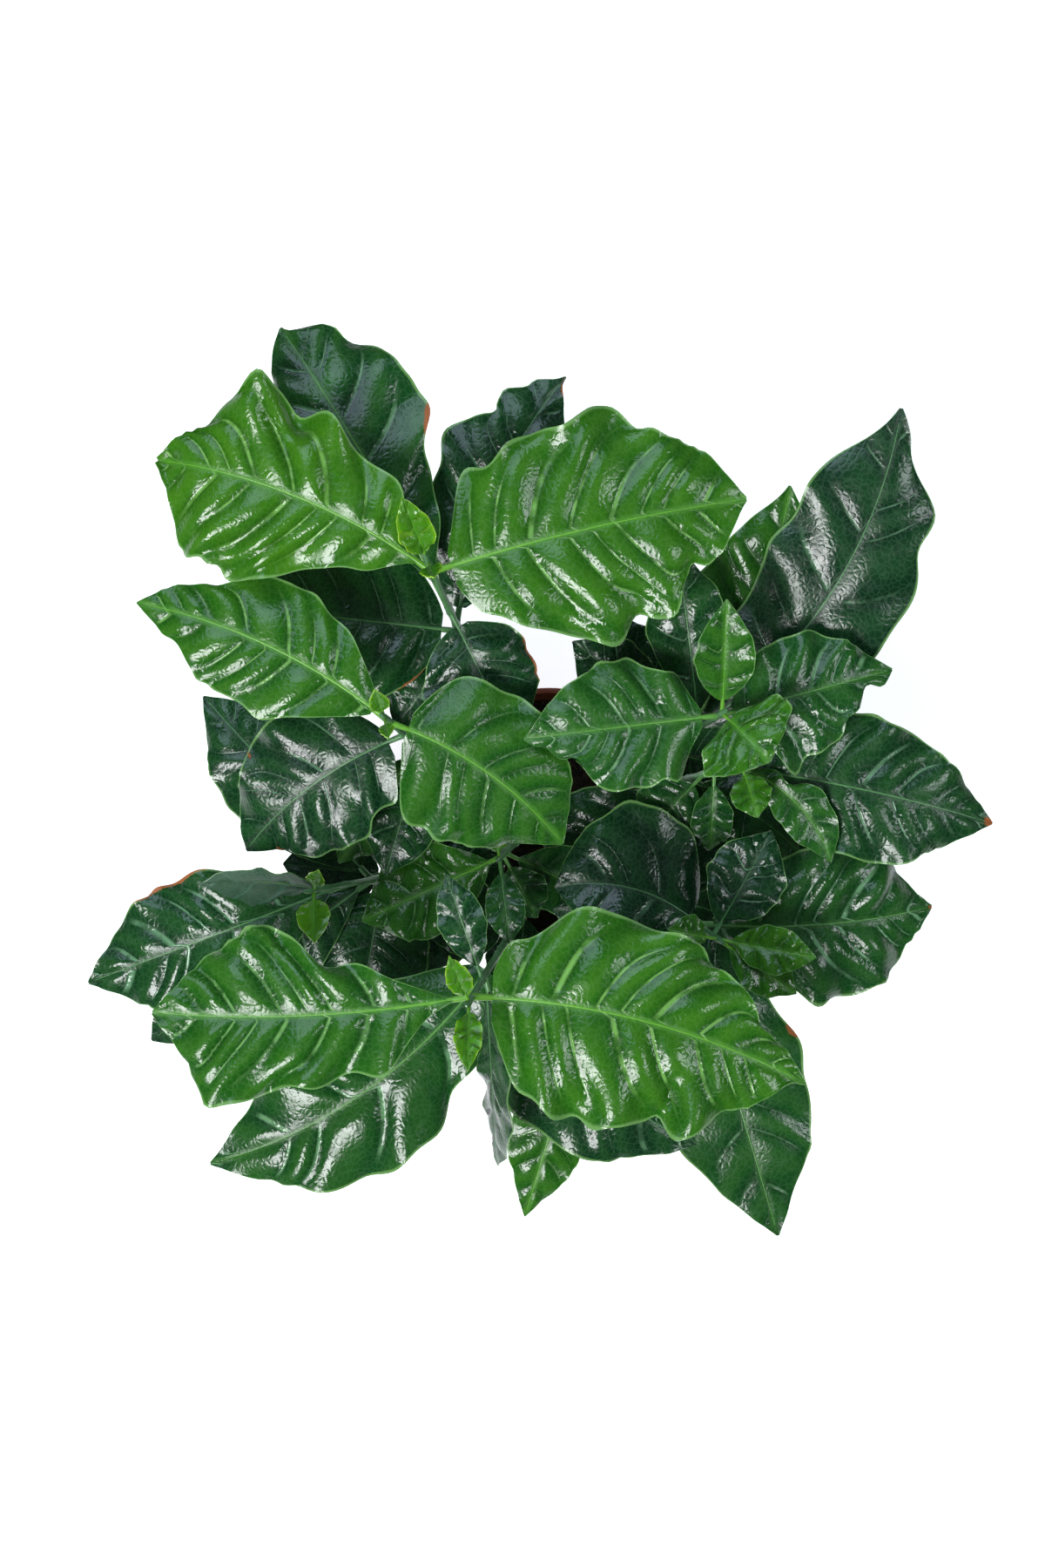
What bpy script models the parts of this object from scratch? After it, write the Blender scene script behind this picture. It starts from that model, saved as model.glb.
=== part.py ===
"""Potted coffee plant: nine young seedlings in one terracotta-coloured nursery pot.

Row frame in metres: +Z up, origin at the centre of the pot's flat base. Seen from straight
above, +Y is the plant's back and +X its right. Driving sizes are in millimetres and degrees.
"""
import math
from collections import namedtuple

import bmesh
import bpy
import numpy as np
from mathutils import Vector

MM = 0.001
GAP = 0.3
COLLECTION_NAME = "potted_coffee_plant"

# Pot, a thin plastic shell with a collar
POT_HEIGHT = 110.0
POT_RIM_RADIUS = 60.0
POT_BASE_RADIUS = 42.0
POT_WALL = 1.6
POT_FLOOR = 2.0
RIM_WIDTH = 2.6
COLLAR_DEPTH = 13.0
COLLAR_STEP = 2.4
RIM_ROUND = 0.6
TURN_STEPS = 36
DRILL_SIDES = 12
DRILL_REACH = 12.0
HOLE_ROOM = 0.1
DRAIN_COUNT = 6
DRAIN_RADIUS = 3.5
DRAIN_CIRCLE = 27.0

# Soil
SOIL_TOP = 92.0
SOIL_MOUND = 2.5
SOIL_LUMP = 0.7
LUMP_WIDTH = 3.5
CROSS_LUMP = 50.0
SOIL_RINGS = (0.0, 0.22, 0.45, 0.68, 0.88, 1.0)
ROOT_DEPTH = 16.0

# Stems
TRUNK_RADIUS = 2.5
TRUNK_TOP = 120.0
TIP_RADIUS = 1.1
TIP_DROP = 4.0
BUD_LENGTH = 5.0
BUD_POINT = 0.5
STEM_PARTS = 5
STEM_LEAN = 1.25
STEM_SIDES_RESOLUTION = 1
COLLAR_RUN = 3.0

# Blades
BLADE_THICKNESS = 0.8
PETIOLE_LENGTH = 6.0
PETIOLE_RADIUS = 1.0
PETIOLE_TAPER = (1.0, 0.9, 0.45)
RIB_END = 0.10
FULLNESS = 0.78
TIP_PINCH = 0.6
TIP_PINCH_POWER = 9
MARGIN_START = 0.015
MARGIN_END = 0.985
BEND_POWER = 1.3
SPINE_STEPS = 64
CUP_FALL = 0.16
MARGIN_WAVES = 4.0
MARGIN_LAG = 1.3
SHARP_ANGLE = 40.0
LARGE_GRID = (8, 4)
SMALL_GRID = (5, 2)
SMALL_LEAF = 52.0

# A leaf: height of its node on the stem, heading from +X, length from the stem to the tip, width,
# where along the blade it is widest, pitch where it leaves the stem and at its tip, change of
# heading, roll, rise of the halves from the midrib as a share of their width, and height of the
# waves in its margin.
Leaf = namedtuple("Leaf", "z heading length width widest rise droop sweep roll cup wave")
Seedling = namedtuple("Seedling", "foot top grown young")

SEEDLINGS = [
    # Back left, with the two broadest leaves at the back
    Seedling((-18, 34), (-49, 102, 300), [
        Leaf(291, 158, 122, 79, 0.64, 10, -16, 28, -6, 0.05, 3.0),
        Leaf(292, 13, 128, 91, 0.50, 8, -12, -8, 4, 0.10, 3.0),
        Leaf(262, 121, 134, 67, 0.68, 20, -20, 6, 0, 0.06, 2.5),
        Leaf(258, 296, 64, 50, 0.42, 6, -44, 0, 0, 0.10, 2.0),
        Leaf(246, 66, 113, 50, 0.48, 22, -10, -30, 0, 0.08, 2.0),
        Leaf(240, 174, 101, 72, 0.42, 12, -25, 0, 0, 0.05, 2.0),
        Leaf(232, 232, 47, 40, 0.45, 6, -20, 0, 0, 0.10, 2.0),
    ], [
        Leaf(299, 112, 32, 14, 0.45, 50, 20, 0, 0, 0.55, 0.5),
        Leaf(299, 292, 22, 9, 0.45, 74, 62, 0, 0, 0.30, 0.5),
    ]),
    # Left
    Seedling((-36, 12), (-67, 42, 284), [
        Leaf(276, 155, 115, 52, 0.50, 8, -18, 28, 0, 0.04, 1.5),
        Leaf(273, 324, 91, 66, 0.44, -2, -34, -34, 0, 0.04, 2.0),
        Leaf(250, 216, 90, 60, 0.46, 0, -40, 30, 0, 0.04, 3.0),
        Leaf(226, 235, 66, 26, 0.50, -10, -36, 0, 0, 0.10, 1.5),
        Leaf(196, 352, 58, 36, 0.48, 8, -24, 0, 0, 0.08, 2.0),
        Leaf(219, 254, 56, 32, 0.50, 12, -10, 0, 0, 0.10, 1.0),
    ], [
        Leaf(283, 285, 16, 6, 0.42, 62, 50, 0, 0, 0.40, 0.2),
        Leaf(283, 105, 22, 8, 0.42, 66, 56, 0, 0, 0.40, 0.2),
    ]),
    # Front, with the long pair across the front
    Seedling((-6, -34), (-33, -69, 308), [
        Leaf(299, 183, 127, 68, 0.64, 6, -12, -14, 4, 0.12, 3.0),
        Leaf(300, 345, 138, 84, 0.42, 6, -16, -28, -4, 0.10, 3.0),
        Leaf(276, 109, 46, 19, 0.50, 20, -10, 0, 0, 0.12, 1.0),
        Leaf(268, 273, 91, 30, 0.50, 0, -50, 0, 68, 0.06, 1.5),
        Leaf(236, 216, 156, 71, 0.46, 5, -20, -40, 0, 0.06, 3.0),
        Leaf(228, 315, 122, 68, 0.48, 2, -20, 40, 0, 0.06, 2.5),
        Leaf(142, 262, 48, 30, 0.50, 20, -24, 0, 0, 0.08, 1.5),
        Leaf(180, 175, 46, 34, 0.36, 8, -16, 0, 0, 0.08, 2.0),
    ], [
        Leaf(307, 110, 32, 10, 0.45, 58, 40, 0, 0, 0.30, 0.4),
        Leaf(307, 270, 34, 11, 0.45, 54, 32, 0, 0, 0.30, 0.4),
    ]),
    # Right, with the tall leaf that rises to the back right
    Seedling((34, 20), (68, 44, 272), [
        Leaf(266, 187, 80, 52, 0.48, 15, -6, 0, 0, 0.10, 2.0),
        Leaf(263, 15, 76, 49, 0.46, 6, -20, 0, 0, 0.10, 2.5),
        Leaf(222, 57, 168, 62, 0.55, 26, 4, 50, 0, 0.06, 2.0),
        Leaf(210, 67, 121, 54, 0.52, 28, 8, 30, 0, 0.06, 2.0),
        Leaf(226, 142, 63, 30, 0.60, 16, -10, 0, 0, 0.12, 1.5),
        Leaf(240, 98, 77, 33, 0.55, 30, -10, 0, 0, 0.12, 1.5),
        Leaf(204, 122, 68, 36, 0.50, 16, -8, 0, 0, 0.10, 1.5),
        Leaf(184, 344, 74, 46, 0.32, 6, -24, 0, 0, 0.08, 2.0),
    ], [
        Leaf(271, 90, 50, 24, 0.46, 36, 18, 0, 0, 0.40, 1.0),
        Leaf(271, 312, 32, 44, 0.45, 56, -10, 0, 0, 0.16, 1.5),
    ]),
    # Front right
    Seedling((30, -22), (69, -49, 238), [
        Leaf(214, 4, 104, 68, 0.52, 14, -26, 16, 9, 0.08, 3.0),
        Leaf(220, 165, 68, 72, 0.46, 14, -16, 60, 8, 0.20, 1.0),
        Leaf(208, 176, 60, 34, 0.55, 8, -20, 0, 0, 0.12, 1.0),
        Leaf(232, 61, 51, 33, 0.50, 20, -16, 0, 0, 0.14, 1.5),
        Leaf(190, 84, 54, 46, 0.36, 6, -14, 0, 0, 0.10, 1.5),
        Leaf(196, 287, 149, 64, 0.50, 8, -18, 0, 0, 0.10, 2.0),
        Leaf(164, 344, 60, 40, 0.46, 6, -22, 0, 0, 0.08, 2.0),
        Leaf(206, 330, 46, 38, 0.50, 6, -16, 0, 0, 0.10, 1.5),
    ], [
        Leaf(237, 350, 42, 20, 0.50, 24, 4, 0, 0, 0.24, 0.8),
        Leaf(237, 168, 25, 16, 0.50, 40, 10, 0, 0, 0.20, 0.8),
        Leaf(237, 325, 40, 20, 0.50, 10, -12, 0, 0, 0.20, 0.8),
    ]),
    # Front left
    Seedling((-32, -20), (-100, -29, 228), [
        Leaf(208, 201, 121, 56, 0.54, 8, -22, 0, 0, 0.08, 2.5),
        Leaf(220, 178, 54, 34, 0.50, 30, -20, 0, 118, 0.20, 0.8),
        Leaf(190, 133, 111, 50, 0.52, 4, -20, 0, 0, 0.08, 2.0),
        Leaf(182, 260, 66, 52, 0.46, 6, -20, 0, 0, 0.10, 1.5),
        Leaf(190, 216, 128, 56, 0.58, 0, -30, 0, 0, 0.08, 2.0),
        Leaf(175, 174, 50, 38, 0.46, 4, -20, 0, 0, 0.10, 1.5),
    ], [
        Leaf(227, 275, 28, 14, 0.45, 50, 30, 0, 0, 0.50, 0.4),
        Leaf(227, 70, 20, 8, 0.45, 70, 50, 0, 0, 0.30, 0.4),
    ]),
    # Middle, low under the canopy
    Seedling((-8, -4), (-22, -16, 222), [
        Leaf(214, 205, 67, 40, 0.50, 8, -22, 0, 0, 0.08, 2.5),
        Leaf(210, 298, 32, 22, 0.50, 0, -30, 0, 0, 0.10, 1.5),
        Leaf(196, 176, 66, 38, 0.50, 14, -20, 0, 0, 0.08, 2.0),
        Leaf(204, 335, 47, 31, 0.55, 4, -24, 0, 0, 0.10, 1.5),
        Leaf(170, 222, 96, 43, 0.50, 8, -20, 0, 0, 0.08, 2.0),
        Leaf(204, 156, 62, 36, 0.50, 10, -14, 0, 0, 0.10, 1.5),
    ], [
        Leaf(221, 277, 37, 17, 0.50, 20, -10, 0, 0, 0.20, 0.8),
        Leaf(221, 97, 22, 10, 0.45, 60, 40, 0, 0, 0.24, 0.4),
    ]),
    # Far right
    Seedling((16, 4), (78, 24, 246), [
        Leaf(236, 348, 116, 59, 0.50, 6, -20, -10, 0, 0.08, 3.0),
        Leaf(240, 315, 60, 22, 0.55, 10, -18, -56, 0, 0.24, 1.0),
        Leaf(226, 268, 36, 18, 0.50, 0, -40, 0, 0, 0.20, 1.0),
        Leaf(218, 226, 38, 30, 0.50, 4, -30, 0, 0, 0.10, 1.0),
        Leaf(206, 325, 70, 36, 0.52, 0, -30, -24, 0, 0.10, 1.5),
        Leaf(182, 219, 66, 46, 0.50, 4, -24, 0, 0, 0.08, 1.5),
    ], [
        Leaf(245, 285, 26, 17, 0.50, 44, 0, 0, 0, 0.20, 0.8),
        Leaf(245, 105, 22, 9, 0.45, 60, 40, 0, 0, 0.30, 0.4),
    ]),
    # Front, low under the long pair
    Seedling((14, -40), (16, -82, 206), [
        Leaf(198, 254, 101, 36, 0.48, 4, -26, 0, 0, 0.08, 1.5),
        Leaf(194, 60, 40, 24, 0.50, 10, -20, 0, 0, 0.10, 1.0),
        Leaf(172, 340, 64, 36, 0.50, 10, -20, 0, 0, 0.10, 1.5),
    ], [
        Leaf(205, 160, 22, 9, 0.45, 60, 40, 0, 0, 0.30, 0.4),
        Leaf(205, 340, 20, 8, 0.45, 66, 44, 0, 0, 0.30, 0.4),
    ]),
]


def clear_scene():
    """Remove every object, so the script gives the same result on each run."""
    for old in list(bpy.data.objects):
        bpy.data.objects.remove(old, do_unlink=True)


def part_collection():
    """Return the collection that holds the part's pieces."""
    found = bpy.data.collections.get(COLLECTION_NAME)
    if found is None:
        found = bpy.data.collections.new(COLLECTION_NAME)
        bpy.context.scene.collection.children.link(found)
    return found


def plain_material(name, colour, roughness):
    """Return a Principled material of one colour."""
    made = bpy.data.materials.new(name)
    made.use_nodes = True
    shader = made.node_tree.nodes["Principled BSDF"]
    shader.inputs["Base Color"].default_value = (*colour, 1.0)
    shader.inputs["Roughness"].default_value = roughness
    shader.inputs["Metallic"].default_value = 0.0
    return made


def keep_in(obj, collection):
    """Move an object into one collection only."""
    for owner in list(obj.users_collection):
        owner.objects.unlink(obj)
    collection.objects.link(obj)


def mesh_object(name, mesh, collection):
    """Link a new object for a mesh."""
    obj = bpy.data.objects.new(name, mesh)
    collection.objects.link(obj)
    return obj


def apply_modifiers(obj):
    """Replace an object's mesh by its evaluated mesh and drop its modifiers."""
    bpy.context.view_layer.update()
    evaluated = obj.evaluated_get(bpy.context.evaluated_depsgraph_get())
    mesh = bpy.data.meshes.new_from_object(evaluated)
    obj.modifiers.clear()
    obj.data = mesh
    return obj


def turned(name, profile, collection):
    """Turn a profile of (radius, height) points about Z into a closed mesh."""
    mesh = bpy.data.meshes.new(name)
    points = [(radius * MM, 0.0, height * MM) for radius, height in profile]
    edges = [(i, i + 1) for i in range(len(points) - 1)]
    mesh.from_pydata(points, edges, [])
    obj = mesh_object(name, mesh, collection)
    screw = obj.modifiers.new("turn", "SCREW")
    screw.steps = TURN_STEPS
    screw.render_steps = TURN_STEPS
    screw.use_merge_vertices = True
    screw.merge_threshold = 0.00001
    return apply_modifiers(obj)


def tube(name, points, radii, resolution, collection):
    """Sweep a closed tube of changing radius through points in millimetres."""
    curve = bpy.data.curves.new(name, "CURVE")
    curve.dimensions = "3D"
    curve.bevel_depth = MM
    curve.bevel_resolution = resolution
    curve.use_fill_caps = True
    spline = curve.splines.new("POLY")
    spline.points.add(len(points) - 1)
    for spot, place, radius in zip(spline.points, points, radii):
        spot.co = (*(Vector(place) * MM), 1.0)
        spot.radius = radius
    guide = mesh_object(name + "_guide", curve, collection)
    bpy.context.view_layer.update()
    mesh = bpy.data.meshes.new_from_object(guide.evaluated_get(bpy.context.evaluated_depsgraph_get()))
    work = bmesh.new()
    work.from_mesh(mesh)
    bmesh.ops.remove_doubles(work, verts=work.verts, dist=0.00002)
    bmesh.ops.recalc_face_normals(work, faces=work.faces)
    work.to_mesh(mesh)
    work.free()
    bpy.data.objects.remove(guide, do_unlink=True)
    return mesh_object(name, mesh, collection)


def join_by_union(base, parts):
    """Join a collection of closed bodies to a base with one Boolean union."""
    boolean = base.modifiers.new("union", "BOOLEAN")
    boolean.operation = "UNION"
    boolean.operand_type = "COLLECTION"
    boolean.collection = parts
    boolean.solver = "MANIFOLD"
    apply_modifiers(base)
    for piece in list(parts.objects):
        bpy.data.objects.remove(piece, do_unlink=True)
    bpy.data.collections.remove(parts)


def drop_scraps(obj):
    """Keep an object's largest connected body."""
    work = bmesh.new()
    work.from_mesh(obj.data)
    left = set(work.verts)
    bodies = []
    while left:
        body = []
        heap = [left.pop()]
        while heap:
            vert = heap.pop()
            body.append(vert)
            near = [edge.other_vert(vert) for edge in vert.link_edges]
            fresh = [other for other in near if other in left]
            left.difference_update(fresh)
            heap.extend(fresh)
        bodies.append(body)
    bodies.sort(key=len, reverse=True)
    for body in bodies[1:]:
        bmesh.ops.delete(work, geom=body, context="VERTS")
    work.to_mesh(obj.data)
    work.free()


def pot_inner_radius(height):
    """Return the radius of the pot's inner wall at a height below the collar."""
    wall_top = POT_HEIGHT - COLLAR_DEPTH
    outer = POT_BASE_RADIUS + (POT_RIM_RADIUS - COLLAR_STEP - POT_BASE_RADIUS) * height / wall_top
    return outer - POT_WALL


def make_pot(collection):
    """Turn the pot and drill its drain holes around a solid centre."""
    wall_top = POT_HEIGHT - COLLAR_DEPTH
    rim_inner = POT_RIM_RADIUS - RIM_WIDTH
    profile = [
        (0.0, POT_FLOOR),
        (pot_inner_radius(POT_FLOOR), POT_FLOOR),
        (pot_inner_radius(wall_top - COLLAR_STEP), wall_top - COLLAR_STEP),
        (rim_inner, wall_top + COLLAR_STEP),
        (rim_inner, POT_HEIGHT - RIM_ROUND),
        (rim_inner + RIM_ROUND, POT_HEIGHT),
        (POT_RIM_RADIUS - RIM_ROUND, POT_HEIGHT),
        (POT_RIM_RADIUS, POT_HEIGHT - RIM_ROUND),
        (POT_RIM_RADIUS, wall_top),
        (POT_RIM_RADIUS - COLLAR_STEP, wall_top - RIM_ROUND),
        (POT_BASE_RADIUS, 0.0),
        (0.0, 0.0),
    ]
    pot = turned("pot", profile, collection)
    drills = bpy.data.collections.new("drills")
    bpy.context.scene.collection.children.link(drills)
    for index in range(DRAIN_COUNT):
        turn = 2.0 * math.pi * (index + 0.5) / DRAIN_COUNT
        place = (DRAIN_CIRCLE * math.cos(turn) * MM, DRAIN_CIRCLE * math.sin(turn) * MM, 0.0)
        bpy.ops.mesh.primitive_cylinder_add(
            vertices=DRILL_SIDES, radius=DRAIN_RADIUS * MM, depth=DRILL_REACH * MM, location=place)
        keep_in(bpy.context.object, drills)
    cut_by_collection(pot, drills)
    return pot


def cut_by_collection(obj, cutters):
    """Cut every cutter of a collection out of an object, then remove the cutters."""
    boolean = obj.modifiers.new("cut", "BOOLEAN")
    boolean.operation = "DIFFERENCE"
    boolean.operand_type = "COLLECTION"
    boolean.collection = cutters
    boolean.solver = "EXACT"
    apply_modifiers(obj)
    for cutter in list(cutters.objects):
        bpy.data.objects.remove(cutter, do_unlink=True)
    bpy.data.collections.remove(cutters)


def make_soil(collection):
    """Fill the pot with a mounded plug of soil that has a plain hole for each trunk."""
    side = GAP + HOLE_ROOM
    low = POT_FLOOR + GAP
    top_radius = pot_inner_radius(SOIL_TOP) - side
    profile = [(top_radius * share, SOIL_TOP + SOIL_MOUND * (1.0 - share ** 2)) for share in SOIL_RINGS]
    profile.append((pot_inner_radius(low) - side, low))
    profile.append((0.0, low))
    soil = turned("soil", profile, collection)
    for vert in soil.data.vertices:
        place = vert.co / MM
        if place.z > SOIL_TOP + HOLE_ROOM:
            broad = math.sin(place.x / LUMP_WIDTH + 1.0) * math.cos(place.y / LUMP_WIDTH)
            cross = math.sin(place.x * place.y / CROSS_LUMP)
            vert.co.z += SOIL_LUMP * (broad + cross) * MM
    drills = bpy.data.collections.new("stem_holes")
    bpy.context.scene.collection.children.link(drills)
    for seedling in SEEDLINGS:
        bottom = SOIL_TOP - ROOT_DEPTH - GAP
        depth = SOIL_MOUND + DRILL_REACH + ROOT_DEPTH
        place = (seedling.foot[0] * MM, seedling.foot[1] * MM, (bottom + depth / 2.0) * MM)
        radius = (TRUNK_RADIUS + GAP) / math.cos(math.pi / DRILL_SIDES)
        bpy.ops.mesh.primitive_cylinder_add(
            vertices=DRILL_SIDES, radius=radius * MM, depth=depth * MM, location=place)
        keep_in(bpy.context.object, drills)
    cut_by_collection(soil, drills)
    return soil


def stem_point(seedling, height):
    """Return the stem's axis at a height, straight up in the soil and leaning above it."""
    foot = np.array(seedling.foot, float)
    top = np.array(seedling.top[:2], float)
    share = max(0.0, (height - SOIL_TOP) / (seedling.top[2] - SOIL_TOP))
    place = foot + (top - foot) * share ** STEM_LEAN
    return np.array([place[0], place[1], height])


def stem_radius(seedling, height):
    """Return the stem's radius, which tapers evenly from the soil to the tip."""
    share = min(1.0, max(0.0, (height - SOIL_TOP) / (seedling.top[2] - SOIL_TOP)))
    return TRUNK_RADIUS + (TIP_RADIUS - TRUNK_RADIUS) * share


def joint_ends(seedling, height):
    """Return the end points, below and above, of two stems that meet face to face at a height."""
    centre = stem_point(seedling, height)
    along = stem_point(seedling, height + 1.0) - stem_point(seedling, height - 1.0)
    along /= np.linalg.norm(along)
    below = [centre - along * COLLAR_RUN, centre - along * GAP / 2.0]
    above = [centre + along * GAP / 2.0, centre + along * COLLAR_RUN]
    return below, above


def leaf_grid(leaf, base, along, across):
    """Return points of a blade's middle surface for arrays of shares along and across it.

    The spine leaves the stem at one pitch and bends to another. The outline is an ovate blade
    with a drawn-out tip, cupped from the midrib, with waves that grow towards the margin.
    """
    steps = np.linspace(0.0, 1.0, SPINE_STEPS + 1)
    pitch = np.radians(leaf.rise + (leaf.droop - leaf.rise) * steps ** BEND_POWER)
    turn = np.radians(leaf.heading + leaf.sweep * (steps - 0.5))
    tangent = np.stack([np.cos(pitch) * np.cos(turn), np.cos(pitch) * np.sin(turn), np.sin(pitch)], 1)
    middles = (tangent[1:] + tangent[:-1]) / 2.0 * leaf.length / SPINE_STEPS
    spine = np.vstack([[0.0, 0.0, 0.0], np.cumsum(middles, 0)]) + base
    start = PETIOLE_LENGTH / leaf.length
    share = start + (1.0 - start) * along
    place = np.stack([np.interp(share, steps, spine[:, axis]) for axis in range(3)], 1)
    ahead = np.stack([np.interp(share, steps, tangent[:, axis]) for axis in range(3)], 1)
    ahead /= np.linalg.norm(ahead, axis=1)[:, None]
    level = np.interp(share, steps, turn)
    side = np.stack([-np.sin(level), np.cos(level), np.zeros_like(level)], 1)
    normal = np.cross(ahead, side)
    roll = math.radians(leaf.roll)
    side, normal = (side * math.cos(roll) + normal * math.sin(roll),
                    normal * math.cos(roll) - side * math.sin(roll))
    bulge = along ** (math.log(0.5) / math.log(leaf.widest))
    outline = np.sin(math.pi * bulge) ** FULLNESS * (1.0 - TIP_PINCH * along ** TIP_PINCH_POWER)
    half = leaf.width / 2.0 * outline
    cup = half * (leaf.cup * np.abs(across) - CUP_FALL * across ** 2)
    phase = 2.0 * math.pi * MARGIN_WAVES * along + np.where(across > 0.0, 0.0, MARGIN_LAG)
    wave = leaf.wave * across ** 2 * np.cos(phase) * np.sqrt(np.clip(outline, 0.0, 1.0))
    return place + side * (half * across)[:, None] + normal * (cup + wave)[:, None]


def make_blade(name, leaf, base, collection):
    """Shape a grid into a blade, triangulate it and give it its thickness."""
    columns, rows = SMALL_GRID if leaf.length < SMALL_LEAF else LARGE_GRID
    bpy.ops.mesh.primitive_grid_add(x_subdivisions=columns, y_subdivisions=rows, size=2.0)
    blade = bpy.context.object
    blade.name = name
    flat = np.array([vert.co[:] for vert in blade.data.vertices])
    along = MARGIN_START + (MARGIN_END - MARGIN_START) * (flat[:, 0] + 1.0) / 2.0
    for vert, place in zip(blade.data.vertices, leaf_grid(leaf, base, along, flat[:, 1])):
        vert.co = Vector(place) * MM
    work = bmesh.new()
    work.from_mesh(blade.data)
    bmesh.ops.triangulate(work, faces=work.faces)
    work.to_mesh(blade.data)
    work.free()
    solid = blade.modifiers.new("thickness", "SOLIDIFY")
    solid.thickness = BLADE_THICKNESS * MM
    solid.offset = 0.0
    apply_modifiers(blade)
    keep_in(blade, collection)
    return blade


def make_petiole(name, leaf, base, collection):
    """Run a tapered stalk from the stem's axis into the start of the midrib."""
    start, end = leaf_grid(leaf, base, np.array([MARGIN_START, RIB_END]), np.zeros(2))
    radius = PETIOLE_RADIUS * min(1.0, leaf.length / SMALL_LEAF)
    return tube(name, [base, start, end], [radius * share for share in PETIOLE_TAPER], 0, collection)


def add_leaves(name, seedling, leaves, collection):
    """Make the blades and petioles of one node on a seedling."""
    for index, leaf in enumerate(leaves, start=1):
        base = stem_point(seedling, leaf.z)
        make_petiole(f"{name}_petiole_{index}", leaf, base, collection)
        make_blade(f"{name}_blade_{index}", leaf, base, collection)


def make_trunk(number, seedling, collection):
    """Make the woody foot of a seedling, rooted in the soil."""
    below, _ = joint_ends(seedling, TRUNK_TOP)
    heights = [SOIL_TOP - ROOT_DEPTH, SOIL_TOP + 2.0 * SOIL_MOUND]
    points = [np.array([seedling.foot[0], seedling.foot[1], height]) for height in heights] + below
    radii = [stem_radius(seedling, point[2]) for point in points]
    return tube(f"trunk_{number}", points, radii, STEM_SIDES_RESOLUTION, collection)


def make_leafy_stem(number, seedling, collection):
    """Make a seedling's green stem, with its petioles and grown leaves in one body."""
    _, start = joint_ends(seedling, TRUNK_TOP)
    end, _ = joint_ends(seedling, seedling.top[2] - TIP_DROP)
    heights = np.linspace(start[1][2], end[0][2], STEM_PARTS + 1)[1:-1]
    points = start + [stem_point(seedling, height) for height in heights] + end
    radii = [stem_radius(seedling, point[2]) for point in points]
    name = f"leafy_stem_{number}"
    stem = tube(name, points, radii, STEM_SIDES_RESOLUTION, collection)
    parts = bpy.data.collections.new(name + "_parts")
    bpy.context.scene.collection.children.link(parts)
    add_leaves(name, seedling, seedling.grown, parts)
    join_by_union(stem, parts)
    drop_scraps(stem)
    return stem


def make_young_tip(number, seedling, collection):
    """Make a seedling's growing tip, with its bud and its youngest leaves in one body."""
    _, start = joint_ends(seedling, seedling.top[2] - TIP_DROP)
    points = start + [stem_point(seedling, seedling.top[2] + rise) for rise in (0.0, BUD_LENGTH)]
    radii = [stem_radius(seedling, seedling.top[2])] * 3 + [TIP_RADIUS * BUD_POINT]
    name = f"young_tip_{number}"
    tip = tube(name, points, radii, STEM_SIDES_RESOLUTION, collection)
    parts = bpy.data.collections.new(name + "_parts")
    bpy.context.scene.collection.children.link(parts)
    add_leaves(name, seedling, seedling.young, parts)
    join_by_union(tip, parts)
    drop_scraps(tip)
    return tip


def dress(obj, material):
    """Give an object one material, smooth where it is round."""
    obj.data.materials.clear()
    obj.data.materials.append(material)
    obj.data.shade_smooth()
    obj.data.set_sharp_from_angle(angle=math.radians(SHARP_ANGLE))


def build():
    """Build the whole part."""
    clear_scene()
    collection = part_collection()
    terracotta = plain_material("terracotta_plastic", (0.33, 0.07, 0.04), 0.5)
    earth = plain_material("potting_soil", (0.02, 0.012, 0.008), 0.95)
    bark = plain_material("young_bark", (0.12, 0.07, 0.03), 0.8)
    green = plain_material("grown_leaf", (0.03, 0.16, 0.03), 0.25)
    lime = plain_material("young_leaf", (0.12, 0.32, 0.02), 0.25)
    dress(make_pot(collection), terracotta)
    dress(make_soil(collection), earth)
    for number, seedling in enumerate(SEEDLINGS, start=1):
        dress(make_trunk(number, seedling, collection), bark)
        dress(make_leafy_stem(number, seedling, collection), green)
        dress(make_young_tip(number, seedling, collection), lime)


build()
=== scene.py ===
# %% [markdown]
# # A potted coffee plant, seen from straight above
# A young coffee plant from a shop is really a pot of seedlings. Nine of them share this pot.
# Each has one thin upright stem, and its leaves come in pairs, one on each side of the stem.
# The top pairs are the newest: they are small and lime green. The old ones below are large,
# thick and nearly black-green. All of them are quilted between sunken veins and very glossy.
#
# The solid model already holds the plant at its true size. This script gives each solid a finer
# skin of the same form: blades with quilting, veins and waved margins, round stalks, bark, soil
# with its crumbs, and the moulded pot.

import math
from collections import namedtuple
from functools import partial

import bpy
import numpy as np
from mathutils import Euler, Matrix, Vector, noise


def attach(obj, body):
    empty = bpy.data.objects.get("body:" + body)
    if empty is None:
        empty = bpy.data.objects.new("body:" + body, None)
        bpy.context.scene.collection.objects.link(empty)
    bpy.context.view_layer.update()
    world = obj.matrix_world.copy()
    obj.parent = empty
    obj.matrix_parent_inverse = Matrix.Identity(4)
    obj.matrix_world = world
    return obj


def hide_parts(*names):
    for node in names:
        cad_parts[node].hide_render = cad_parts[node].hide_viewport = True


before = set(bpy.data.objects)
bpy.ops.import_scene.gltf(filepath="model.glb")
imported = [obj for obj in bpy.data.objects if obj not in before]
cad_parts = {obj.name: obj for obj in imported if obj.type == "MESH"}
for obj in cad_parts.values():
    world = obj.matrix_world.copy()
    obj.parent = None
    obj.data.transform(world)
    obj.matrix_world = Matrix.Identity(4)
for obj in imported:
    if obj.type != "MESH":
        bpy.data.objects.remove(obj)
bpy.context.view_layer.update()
MM = 0.001

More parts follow.
